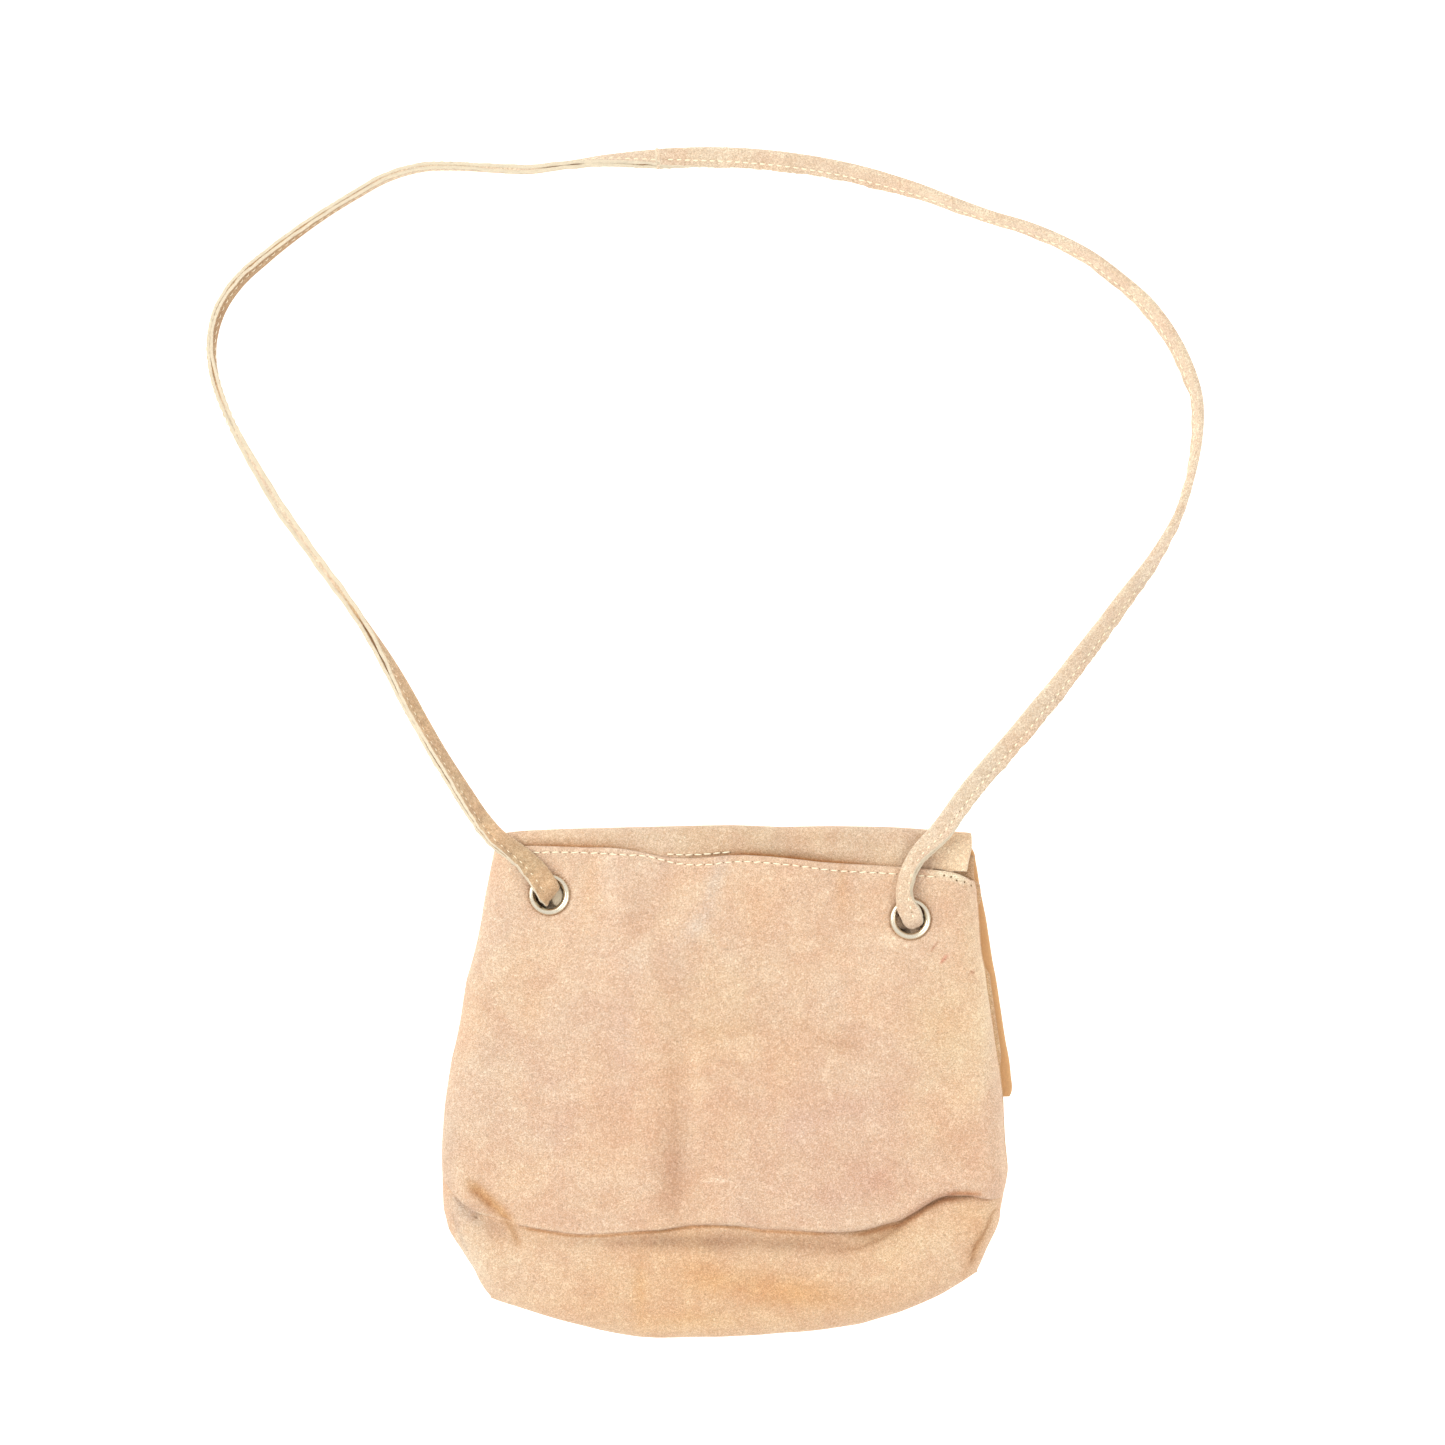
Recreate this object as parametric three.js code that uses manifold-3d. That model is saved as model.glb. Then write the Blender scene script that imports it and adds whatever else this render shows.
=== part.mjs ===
// Small flap-over shoulder bag in peach-tan suede, lying flat on its flap with its back up.
// Millimetres, +Z up. The origin is on the surface it lies on, under the middle of the bag.
// The rear panel, front panel and base panel make the hollow body. The flap is sewn behind the rear
// panel's top edge, folds over the mouth on two parallel folds and lies under the front panel.
// One strap, made of two folded lengths, runs from eyelet to eyelet and is knotted inside.

import * as THREE from 'three';
import { mergeVertices } from 'three/addons/utils/BufferGeometryUtils.js';
import Module from 'manifold-3d';

const SUEDE = 1.4;               // thickness of the suede
const GAP = 0.3;                 // air between touching pieces
const LEVEL_FLAP = 0;            // underside of the flap
const LEVEL_FRONT = SUEDE + GAP; // underside of the front panel where it lies on the flap
const LEVEL_REAR = 13.2;         // underside of the rear panel
const LEVEL_STRIP = 11.5;        // underside of the flap's seam strip
const SIDE_ROUND = 12;           // how far in from the side seams the rear panel rounds over
const FOLD_Y = 101.6;            // mid plane of the flap's spine, and both fold axes
const FOLD_UPPER_Z = LEVEL_STRIP + SUEDE / 2;
const FOLD_LOWER_Z = LEVEL_FLAP + SUEDE / 2;
const FLAP_END_Y = -6;           // free edge of the flap
const EYELETS = { left: [-70.8, 75.1], right: [72.6, 65.4] };
const EYELET_HOLE_R = 5.7;
const EYELET_FLANGE_R = 8.1;
const BARREL_R = 6.2;
const PANEL_HOLE_R = 6.5;
const STRAP_WIDTH = 8.6;
const STRAP_THICK = 3.1;
const STRAP_ROUND = 0.8;
const KNOT_HALF = [10, 8.5, 3.4];
const KNOT_Z = 6.9;

// Outlines of the bag lying flat, as [x, y] in mm.
const LEFT_EDGE = [
  [-92.33, 94.55], [-93.13, 92.55], [-93.92, 88.56], [-94.72, 84.58], [-95.52, 80.59], [-96.32, 76.6], [-97.11, 72.61], [-98.31, 64.64],
  [-99.91, 56.66], [-101.9, 48.69], [-104.29, 40.71], [-105.49, 32.73], [-106.69, 24.76], [-108.28, 16.78], [-110.27, 8.81], [-111.47, 0.83],
  [-112.67, -7.15], [-113.46, -15.12], [-114.06, -23.1], [-114.26, -29.08], [-114.06, -35.06], [-113.86, -41.04], [-113.46, -51.01], [-112.27, -55],
  [-111.47, -58.99], [-109.08, -62.98], [-106.29, -66.97], [-103.89, -70.95], [-101.1, -74.94], [-99.51, -78.93], [-97.11, -82.92], [-94.72, -85.71],
];
const RIGHT_EDGE = [
  [98.05, 81.42], [99.24, 78.23], [99.84, 70.66], [100.64, 58.7], [101.28, 51.12], [102.83, 44.35], [103.59, 37.57], [105.02, 28.4],
  [107.02, 14.45], [108.21, 6.88], [109.69, -5.08], [110.21, -15.04], [110.6, -23.02], [111.2, -28.99], [111.8, -34.97], [111, -40.95],
  [109.81, -46.93], [109.01, -50.92], [108.81, -54.9], [107.42, -58.89], [105.42, -62.88], [103.43, -66.86], [101.84, -70.85], [99.84, -75.23],
];
const TOP_EDGE = [
  [-92.73, 93.17], [-88.36, 93.96], [-82.41, 94.36], [-77.64, 94.64], [-68.11, 94.36], [-55.8, 93.96], [-47.86, 93.96], [-40.72, 93.37],
  [-34.36, 92.18], [-28.41, 90.79], [-22.85, 89.99], [-16.1, 89.71], [-10.93, 89.87], [-6.17, 90.27], [-0.61, 90.79], [6.93, 90.99],
  [16.86, 90.39], [28.77, 89.2], [36.72, 88.21], [48.63, 87.41], [60.54, 86.82], [68.88, 86.22], [78.81, 85.43], [85.56, 84.83],
  [91.51, 83.64], [94.69, 82.05], [97.67, 80.46],
];
const REAR_SEAM = [
  [-112.96, -50.53], [-107.4, -51.13], [-102, -51.73], [-96.29, -52.72], [-90.33, -53.71], [-86.36, -54.9], [-82.79, -56.49], [-76.04, -57.68],
  [-63.34, -59.67], [-56.98, -60.06], [-46.66, -59.67], [-33.16, -59.15], [-24.83, -57.88], [-16.89, -56.69], [-8.95, -56.29], [-0.61, -56.49],
  [6.93, -57.48], [13.68, -58.28], [29.16, -58.87], [41.47, -59.47], [51.79, -59.11], [57.75, -57.88], [63.7, -56.29], [68.47, -54.5],
  [74.82, -52.12], [80.38, -48.55], [85.14, -45.77], [90.3, -44.98], [95.07, -44.78], [100.23, -44.58], [103.4, -45.77], [109.36, -46.17],
];
const BOTTOM_EDGE = [
  [-95.66, -86.06], [-90.87, -87.85], [-82.88, -90.25], [-74.89, -92.85], [-66.9, -95.24], [-58.91, -97.24], [-50.93, -99.24], [-42.94, -100.83],
  [-34.95, -102.03], [-26.96, -102.43], [-18.97, -102.23], [-10.99, -102.03], [-3, -102.03], [4.99, -101.63], [12.98, -101.23], [20.97, -100.43],
  [28.95, -100.03], [36.94, -99.24], [44.93, -98.04], [52.92, -96.84], [60.91, -94.44], [68.89, -92.05], [76.88, -88.85], [84.87, -85.26],
  [92.86, -80.46], [96.85, -77.87], [100.05, -75.67],
];
const FLAP_RIGHT_EDGE = [
  [97.77, 99.22], [98.16, 96.42], [98.56, 92.42], [98.96, 88.42], [99.76, 84.42], [100.96, 76.02], [101.76, 72.42], [103.36, 64.43],
  [104.56, 56.43], [105.76, 48.43], [107.36, 40.44], [108.56, 32.44], [109.76, 24.44], [110.96, 16.44], [112.56, 8.45], [113.36, 0.45],
  [114.16, -4.75],
];
// Strap centre line as [x, y, z, turn]: turn is the section's angle in degrees, 0 with the raw edge
// outwards and the strap lying flat, 90 with the raw edge down, 270 with it up.
const STRAP_RIGHT_ROUTE = [
  [72.3, 64.6, 10.6, 0], [72.3, 64.6, 14.4, 0], [72.15, 65.3, 17.2, 0], [71.7, 67.2, 18.6, 1], [71, 70.2, 18.8, 2],
  [70.7, 74, 18.6, 3], [71.2, 80, 17.9, 4], [73.4, 86.4, 17.6, 5], [77.5, 92.8, 17.5, 6], [82.5, 98, 17.3, 8],
  [87.05, 103.54, 16.8, 9], [95.01, 114.63, 16.2, 10], [104.21, 125.73, 14.7, 11], [113.91, 136.44, 11.8, 13], [123.26, 147.58, 8.6, 17],
  [132.58, 158.75, 6.2, 24], [141.45, 170.33, 4.9, 34], [150.3, 181.92, 3.94, 43], [158.66, 193.49, 4.22, 52], [167.42, 205.06, 4.46, 63],
  [174.99, 217.03, 4.57, 75], [181.38, 230.2, 4.54, 86], [185.38, 243.77, 4.51, 91], [187.77, 258.14, 4.55, 95], [187.37, 272.5, 4.58, 104],
  [182.98, 286.08, 4.49, 115], [176.21, 298.86, 4.41, 120], [167.43, 310.43, 4.37, 122], [156.65, 320.01, 4.39, 121], [145.07, 328.79, 4.46, 117],
  [132.7, 335.57, 4.51, 113], [119.12, 341.15, 4.55, 110], [105.55, 345.14, 4.55, 109], [91.99, 349.93, 4.54, 111], [78.02, 355.13, 4.44, 118],
  [64.46, 359.15, 4.13, 131], [50.5, 362.78, 3.82, 140], [36.13, 365.6, 3.62, 145], [21.76, 367.62, 3.4, 150], [7.39, 368.86, 3.01, 158],
  [-6.99, 369.35, 2.23, 172], [-21.37, 369.1, 2.69, 196], [-28.01, 368.84, 3.3, 208],
];
const STRAP_LEFT_ROUTE = [
  [-28.31, 368.82, 3.32, 208], [-35.73, 368.55, 3.97, 224], [-50.09, 367.69, 4.55, 250], [-64.46, 365.89, 4.56, 264], [-78.83, 363.9, 4.5, 270],
  [-93.19, 364.3, 4.52, 272], [-107.56, 365.1, 4.53, 273], [-121.93, 364.69, 4.56, 276], [-135.89, 360.7, 4.58, 281], [-148.26, 353.92, 4.58, 281],
  [-160.64, 346.33, 4.58, 282], [-172.61, 337.95, 4.57, 285], [-183.79, 329.18, 4.55, 289], [-194.96, 319.2, 4.51, 293], [-202.54, 307.63, 4.55, 289],
  [-205.73, 294.05, 4.58, 280], [-204.14, 279.69, 4.51, 271], [-199.35, 266.12, 4.52, 268], [-192.97, 253.15, 4.54, 266], [-185.78, 240.58, 4.55, 265],
  [-178.2, 228.21, 4.54, 266], [-169.82, 216.63, 4.52, 268], [-161.44, 205.06, 4.52, 272], [-152.66, 193.49, 4.56, 276], [-144.27, 181.51, 4.58, 284],
  [-136.67, 169.54, 4.9, 295], [-129.46, 156.76, 5.3, 304], [-122.64, 144, 6, 309], [-115.38, 131.64, 7.3, 312], [-107.69, 119.71, 9.6, 315],
  [-98.76, 107.84, 13.2, 321], [-91.5, 99.5, 16.5, 342], [-86.7, 94.7, 17.4, 351], [-82.7, 90.8, 17.7, 355], [-78.6, 86.1, 17.9, 358],
  [-75.3, 82.1, 18.5, 360], [-73.1, 79.2, 18.8, 360], [-71.7, 77.1, 18.6, 360], [-70.8, 75.6, 17.2, 360], [-70.5, 74.9, 14.4, 360],
  [-70.5, 74.9, 10.6, 360],
];

const lerp = (a, b, t) => a + (b - a) * t;
const clamp = (v, lo, hi) => Math.min(hi, Math.max(lo, v));
const smooth = (a, b, v) => { const t = clamp((v - a) / (b - a), 0, 1); return t * t * (3 - 2 * t); };

// Reads a table of points as one coordinate against the other.
function along(table, key, value, v) {
  const rows = [...table].sort((p, q) => p[key] - q[key]);
  if (v <= rows[0][key]) return rows[0][value];
  for (let i = 1; i < rows.length; i++) {
    if (v <= rows[i][key]) {
      const t = (v - rows[i - 1][key]) / (rows[i][key] - rows[i - 1][key] || 1);
      return lerp(rows[i - 1][value], rows[i][value], t);
    }
  }
  return rows[rows.length - 1][value];
}
const leftAt = (y) => along(LEFT_EDGE, 1, 0, y);
const rightAt = (y) => along(RIGHT_EDGE, 1, 0, y);
const topAt = (x) => along(TOP_EDGE, 0, 1, x);
const seamAt = (x) => along(REAR_SEAM, 0, 1, x);
const bottomAt = (x) => along(BOTTOM_EDGE, 0, 1, x);
const flapRightAt = (y) => along(FLAP_RIGHT_EDGE, 1, 0, y);
const flapLeftAt = (y) => lerp(-88, -104.5, clamp((100 - y) / 105, 0, 1));

// Underside of the front panel: over the flap it is one thickness up, below the flap's edge it drops.
const frontUnder = (y) => LEVEL_FRONT * smooth(FLAP_END_Y - 9, FLAP_END_Y - 1.2, y);

const wasm = await Module();
wasm.setup();
const group = new THREE.Group();

// Keeps positions only, merges shared corners and turns every face outwards.
function solid(geometry) {
  let g = geometry.index ? geometry.clone() : geometry;
  for (const name of Object.keys(g.attributes)) if (name !== 'position') g.deleteAttribute(name);
  g = mergeVertices(g, 1e-4);
  const p = g.attributes.position.array, idx = Array.from(g.index.array), keep = [];
  for (let i = 0; i < idx.length; i += 3) {
    const [a, b, c] = [idx[i], idx[i + 1], idx[i + 2]];
    if (a !== b && b !== c && c !== a) keep.push(a, b, c);
  }
  let volume = 0;
  for (let i = 0; i < keep.length; i += 3) {
    const [a, b, c] = [keep[i] * 3, keep[i + 1] * 3, keep[i + 2] * 3];
    volume += p[a] * (p[b + 1] * p[c + 2] - p[b + 2] * p[c + 1])
      - p[a + 1] * (p[b] * p[c + 2] - p[b + 2] * p[c])
      + p[a + 2] * (p[b] * p[c + 1] - p[b + 1] * p[c]);
  }
  if (volume < 0) for (let i = 0; i < keep.length; i += 3) [keep[i + 1], keep[i + 2]] = [keep[i + 2], keep[i + 1]];
  g.setIndex(keep);
  return g;
}

const suede = new THREE.MeshStandardMaterial({ color: 0xefc8a6, roughness: 0.95, metalness: 0 });
const suedeShade = new THREE.MeshStandardMaterial({ color: 0xe3bd97, roughness: 0.95, metalness: 0 });
const nickel = new THREE.MeshStandardMaterial({ color: 0xd8d6cf, roughness: 0.22, metalness: 1 });
const thread = new THREE.MeshStandardMaterial({ color: 0xfff5d6, roughness: 0.8, metalness: 0 });

function add(name, geometry, material) {
  const mesh = new THREE.Mesh(solid(geometry), material);
  mesh.name = name;
  group.add(mesh);
  return mesh;
}

// A sheet of even thickness: outer(s, t) is its outer face, and the inner face lies along the normal,
// no lower than lowest(y).
function sheet(nx, ny, thickness, outer, lowest) {
  const g = new THREE.BoxGeometry(1, 1, 1, nx, ny, 1);
  const p = g.attributes.position, e = 1e-3;
  for (let i = 0; i < p.count; i++) {
    const s = p.getX(i) + 0.5, t = 0.5 - p.getY(i), depth = (0.5 - p.getZ(i)) * thickness;
    const c = outer(s, t);
    const s0 = outer(Math.max(0, s - e), t), s1 = outer(Math.min(1, s + e), t);
    const t0 = outer(s, Math.max(0, t - e)), t1 = outer(s, Math.min(1, t + e));
    const n = new THREE.Vector3().crossVectors(t0.sub(t1), s1.sub(s0)).normalize();
    if (n.z < 0) n.negate();
    p.setXYZ(i, c.x - n.x * depth, c.y - n.y * depth, Math.max(c.z - n.z * depth, Math.min(c.z, lowest(c.y))));
  }
  return g;
}

// A box bent to a plan and two heights.
function slab(nx, ny, place) {
  const g = new THREE.BoxGeometry(1, 1, 1, nx, ny, 1);
  const p = g.attributes.position;
  for (let i = 0; i < p.count; i++) {
    const q = place(p.getX(i) + 0.5, 0.5 - p.getY(i), p.getZ(i) > 0);
    p.setXYZ(i, q[0], q[1], q[2]);
  }
  return g;
}

// Sideways position of a rounded panel: s runs from the left seam to the right seam, and both ends
// turn down through a quarter round. Returns the distance from the left edge and the round's height.
function across(s, width, shareOfRound) {
  const a = shareOfRound;
  if (s < a) { const f = (s / a) * Math.PI / 2; return [SIDE_ROUND * (1 - Math.cos(f)), Math.sin(f)]; }
  if (s > 1 - a) { const f = ((1 - s) / a) * Math.PI / 2; return [width - SIDE_ROUND * (1 - Math.cos(f)), Math.sin(f)]; }
  return [lerp(SIDE_ROUND, width - SIDE_ROUND, (s - a) / (1 - 2 * a)), 1];
}

function planPoint(s, t, upper, lower, share) {
  let y = lerp(upper(0), lower(0), t), x = 0, h = 1;
  for (let k = 0; k < 24; k++) {
    const l = leftAt(y), w = rightAt(y) - l, d = across(s, w, share);
    x = l + d[0]; h = d[1];
    y = lerp(y, lerp(upper(x), lower(x), t), 0.7);
  }
  return [x, y, h];
}

// Body panels ------------------------------------------------------------------------------------

const rearTop = LEVEL_REAR + SUEDE;
function rearOuter(s, t) {
  const [x, y, h] = planPoint(s, t, (v) => topAt(v), (v) => seamAt(v) + 0.5, 4 / 28);
  return new THREE.Vector3(x, y, lerp(footAt(y), rearTop, h));
}
const footAt = (y) => frontUnder(y + 3) + SUEDE + GAP;
const rear = solid(sheet(28, 22, SUEDE, rearOuter, footAt));

function toManifold(g) {
  return new wasm.Manifold(new wasm.Mesh({
    numProp: 3,
    vertProperties: new Float32Array(g.attributes.position.array),
    triVerts: new Uint32Array(g.index.array),
  }));
}
function fromManifold(m) {
  const mesh = m.getMesh();
  const g = new THREE.BufferGeometry();
  g.setAttribute('position', new THREE.BufferAttribute(new Float32Array(mesh.vertProperties), 3));
  g.setIndex(Array.from(mesh.triVerts));
  return g;
}
let rearCut = toManifold(rear);
for (const [x, y] of Object.values(EYELETS)) {
  const hole = new THREE.CylinderGeometry(PANEL_HOLE_R, PANEL_HOLE_R, 8, 32);
  hole.rotateX(Math.PI / 2);
  hole.translate(x, y, LEVEL_REAR + SUEDE / 2);
  rearCut = rearCut.subtract(toManifold(solid(hole)));
}
add('rear_panel', fromManifold(rearCut), suede);

const BASE_ROUND = 40;
function baseOuter(s, t) {
  // t is spaced so that rows gather where the panel turns down to the front seam.
  const f = t * Math.PI / 2;
  const [x, y, h] = planPoint(s, Math.sin(f), (v) => seamAt(v) - 0.5, (v) => bottomAt(v), 4 / 24);
  return new THREE.Vector3(x, y, lerp(SUEDE + GAP + 0.4, rearTop - 0.4, h * Math.cos(f)));
}
add('base_panel', sheet(24, 8, SUEDE, baseOuter, () => SUEDE + GAP + 0.4), suede);

function frontPlace(s, t, up) {
  let y = lerp(90, -60, t), x = 0;
  for (let k = 0; k < 24; k++) {
    const l = leftAt(y) + 0.3;
    const r = rightAt(y) + lerp(-0.3, 1.6, smooth(-52, -36, y));
    x = lerp(l, r, s);
    y = lerp(y, lerp(90, bottomAt(x) + 0.3, t), 0.7);
  }
  return [x, y, frontUnder(y) + (up ? SUEDE : 0)];
}
add('front_panel', slab(14, 36, frontPlace), suedeShade);

// Flap: a strip sewn behind the rear panel, a spine over the mouth and the flap itself -------------

add('flap_seam_strip', slab(36, 2, (s, t, up) => {
  const x = lerp(-88, 97, s);
  const tuck = lerp(-0.8, 7, smooth(-82, -74, x) * (1 - smooth(76, 84, x)));
  const inner = Math.max(topAt(x), x > 92 ? 84 : 0) - tuck;
  return [lerp(x, x - 1.6 * smooth(90, 97, x), t), lerp(FOLD_Y - 1, inner, t), LEVEL_STRIP + (up ? SUEDE : 0)];
}), suede);

// The spine's section is a plate with round ends, one about each fold axis.
const spineShape = new THREE.Shape();
spineShape.absarc(0, FOLD_UPPER_Z, SUEDE / 2, 0, Math.PI, false);
spineShape.absarc(0, FOLD_LOWER_Z, SUEDE / 2, Math.PI, Math.PI * 2, false);
const spine = new THREE.ExtrudeGeometry(spineShape, { depth: 185.6, bevelEnabled: false, curveSegments: 8, steps: 1 });
// The shape's x becomes y, its y becomes z and the extrusion runs along x.
spine.applyMatrix4(new THREE.Matrix4().set(0, 0, 1, -88, 1, 0, 0, FOLD_Y, 0, 1, 0, 0, 0, 0, 0, 1));
add('flap_fold', spine, suede);

add('flap_front', slab(10, 14, (s, t, up) => {
  const y = lerp(FOLD_Y - 1, FLAP_END_Y, t);
  const corner = 5 * Math.max(0, 1 - (y - FLAP_END_Y) / 5) ** 2;
  return [lerp(flapLeftAt(y) + corner, flapRightAt(y) - corner * 0.3, s), y, LEVEL_FLAP + (up ? SUEDE : 0)];
}), suedeShade);

// Eyelets: a flanged barrel rolled over a washer on the inside -------------------------------------

const panelTop = LEVEL_REAR + SUEDE + GAP;
const eyeletProfile = [
  [EYELET_HOLE_R, 11.5], [EYELET_HOLE_R, panelTop + 0.7], [6.05, panelTop + 1.2], [6.8, panelTop + 1.45], [7.5, panelTop + 1.2],
  [EYELET_FLANGE_R, panelTop + 0.55], [EYELET_FLANGE_R, panelTop], [BARREL_R, panelTop], [BARREL_R, 12.0],
  [7.2, 12.0], [7.3, 11.6], [6.9, 11.2], [6.1, 11.15], [EYELET_HOLE_R, 11.5],
].map(([r, z]) => new THREE.Vector2(r, z));
const washerProfile = [[6.5, 12.3], [6.5, 12.9], [8.3, 12.9], [8.3, 12.3], [6.5, 12.3]].map(([r, z]) => new THREE.Vector2(r, z));
for (const [side, [x, y]] of Object.entries(EYELETS)) {
  const ring = new THREE.LatheGeometry(eyeletProfile, 36);
  ring.rotateX(Math.PI / 2);
  ring.translate(x, y, 0);
  add(`${side}_eyelet`, ring, nickel);
  const washer = new THREE.LatheGeometry(washerProfile, 36);
  washer.rotateX(Math.PI / 2);
  washer.translate(x, y, 0);
  add(`${side}_eyelet_washer`, washer, nickel);
}

// Strap -------------------------------------------------------------------------------------------

// Eight-sided section, x across the strap from the fold to the raw edges, y through its thickness.
const sx = STRAP_WIDTH / 2, sy = STRAP_THICK / 2, sr = STRAP_ROUND;
const section = [
  [sx, -sy + sr], [sx, sy - sr], [sx - sr, sy], [-sx + sr, sy],
  [-sx, sy - sr], [-sx, -sy + sr], [-sx + sr, -sy], [sx - sr, -sy],
];
function strap(route, startOut, endOut) {
  const n = route.length;
  const pts = route.map((r) => new THREE.Vector3(r[0], r[1], r[2]));
  const frames = pts.map((p, i) => {
    const a = pts[Math.max(0, i - 1)], b = pts[Math.min(n - 1, i + 1)];
    const tangent = b.clone().sub(a).normalize();
    const out = new THREE.Vector3(tangent.y, -tangent.x, 0);
    if (startOut && i < 3) out.copy(startOut);
    if (endOut && i > n - 4) out.copy(endOut);
    out.normalize();
    const turn = route[i][3] * Math.PI / 180;
    const wide = out.multiplyScalar(Math.cos(turn)).add(new THREE.Vector3(0, 0, -Math.sin(turn)));
    wide.addScaledVector(tangent, -wide.dot(tangent)).normalize();
    return { p, wide, thick: new THREE.Vector3().crossVectors(tangent, wide) };
  });
  const g = new THREE.CylinderGeometry(1, 1, 1, 8, n - 1, false);
  const q = g.attributes.position;
  for (let i = 0; i < q.count; i++) {
    const ring = clamp(Math.round((0.5 - q.getY(i)) * (n - 1)), 0, n - 1);
    const f = frames[ring];
    const radius = Math.hypot(q.getX(i), q.getZ(i));
    let v = f.p.clone();
    if (radius > 0.5) {
      const k = ((Math.round(Math.atan2(q.getZ(i), q.getX(i)) / (Math.PI / 4)) % 8) + 8) % 8;
      v.addScaledVector(f.wide, section[k][0]).addScaledVector(f.thick, section[k][1]);
    }
    q.setXYZ(i, v.x, v.y, v.z);
  }
  return g;
}
add('strap_right_length', strap(STRAP_RIGHT_ROUTE, new THREE.Vector3(1, 0, 0), null), suede);
add('strap_left_length', strap(STRAP_LEFT_ROUTE, null, new THREE.Vector3(-0.62, -0.78, 0)), suede);

for (const side of ['left', 'right']) {
  const route = side === 'left' ? STRAP_LEFT_ROUTE : STRAP_RIGHT_ROUTE;
  const end = side === 'left' ? route[route.length - 1] : route[0];
  const knot = new THREE.SphereGeometry(1, 16, 10);
  knot.rotateX(Math.PI / 2);
  knot.scale(...KNOT_HALF);
  knot.translate(end[0], end[1], KNOT_Z);
  add(`${side}_strap_knot`, knot, suede);
}

// Thread rows: each is one thin band along its seam ------------------------------------------------

function band(n, width, low, high, path) {
  return slab(n, 1, (s, t, up) => {
    const a = path(Math.max(0, s - 0.01)), b = path(Math.min(1, s + 0.01)), c = path(s);
    const l = Math.hypot(b[0] - a[0], b[1] - a[1]), side = (0.5 - t) * width;
    return [c[0] - (b[1] - a[1]) / l * side, c[1] + (b[0] - a[0]) / l * side, up ? high : low];
  });
}
const rowOnRear = LEVEL_REAR + SUEDE + GAP;
add('rear_hem_thread', band(40, 0.7, rowOnRear, rowOnRear + 0.3, (s) => { const x = lerp(-78, 84, s); return [x, topAt(x) - 3]; }), thread);
const rowOnStrip = LEVEL_STRIP + SUEDE + GAP;
add('flap_strip_thread', band(8, 0.7, rowOnStrip, rowOnStrip + 0.3, (s) => { const x = lerp(-26, 1, s); return [x, Math.max(91.4, topAt(x) + 0.8)]; }), thread);
const rowOnFront = LEVEL_FRONT + SUEDE + GAP;
add('front_hem_thread', band(12, 0.7, rowOnFront, rowOnFront + 0.3, (s) => [lerp(-80, 86, s), 87]), thread);
add('left_side_seam_thread', band(24, 0.7, 5, 5.4, (s) => { const y = lerp(82, -44, s); return [leftAt(y) + 3.2, y]; }), thread);
add('right_side_seam_thread', band(24, 0.7, 5, 5.4, (s) => { const y = lerp(74, -38, s); return [rightAt(y) - 3.2, y]; }), thread);
add('rear_base_seam_thread', band(30, 0.7, LEVEL_REAR - GAP - 0.4, LEVEL_REAR - GAP, (s) => { const x = lerp(-88, 84, s); return [x, seamAt(x) + 2.5]; }), thread);
add('front_base_seam_thread', band(24, 0.7, SUEDE + GAP, SUEDE + GAP + 0.4, (s) => { const x = lerp(-80, 80, s); return [x, bottomAt(x) + 5]; }), thread);

export default group;
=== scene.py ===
# Small suede flap shoulder bag, lying flat on its flap with its back up.
# All shapes are worked out in millimetres in the row frame and written to the meshes in metres.
import math
import bpy
import numpy as np
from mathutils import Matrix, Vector


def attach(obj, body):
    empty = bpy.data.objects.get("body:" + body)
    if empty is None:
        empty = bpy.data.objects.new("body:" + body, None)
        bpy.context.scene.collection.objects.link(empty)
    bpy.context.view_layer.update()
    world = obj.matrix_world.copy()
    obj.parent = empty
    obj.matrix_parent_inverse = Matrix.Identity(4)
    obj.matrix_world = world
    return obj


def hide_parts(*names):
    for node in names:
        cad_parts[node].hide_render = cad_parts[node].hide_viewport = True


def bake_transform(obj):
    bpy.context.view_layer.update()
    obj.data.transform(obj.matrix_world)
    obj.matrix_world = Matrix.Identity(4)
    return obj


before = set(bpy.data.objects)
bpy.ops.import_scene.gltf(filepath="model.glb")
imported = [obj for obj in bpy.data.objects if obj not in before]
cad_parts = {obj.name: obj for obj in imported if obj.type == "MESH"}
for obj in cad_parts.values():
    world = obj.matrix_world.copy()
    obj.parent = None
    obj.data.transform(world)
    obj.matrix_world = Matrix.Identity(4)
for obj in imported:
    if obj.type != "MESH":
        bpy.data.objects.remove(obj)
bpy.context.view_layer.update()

MM = 0.001
rng = np.random.RandomState(7)

# ------------------------------------------------------------------ camera, light, floor
scene = bpy.context.scene
cam_data = bpy.data.cameras.new("camera")
cam_data.sensor_width = 36.0
cam_data.lens = 36.0 * 2.0 / 0.578
cam = bpy.data.objects.new("camera", cam_data)
cam.location = (-0.002, 0.1434, 2.0)
cam.rotation_euler = (0.0, 0.0, 0.0)
scene.collection.objects.link(cam)
scene.camera = cam
scene.view_settings.view_transform = "Standard"
scene.view_settings.look = "None"
scene.view_settings.exposure = 0.0
scene.view_settings.gamma = 1.0

world = bpy.data.worlds.new("studio")
world.use_nodes = True
world.node_tree.nodes["Background"].inputs["Color"].default_value = (1.0, 0.985, 0.965, 1)
world.node_tree.nodes["Background"].inputs["Strength"].default_value = 0.92
scene.world = world


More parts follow.
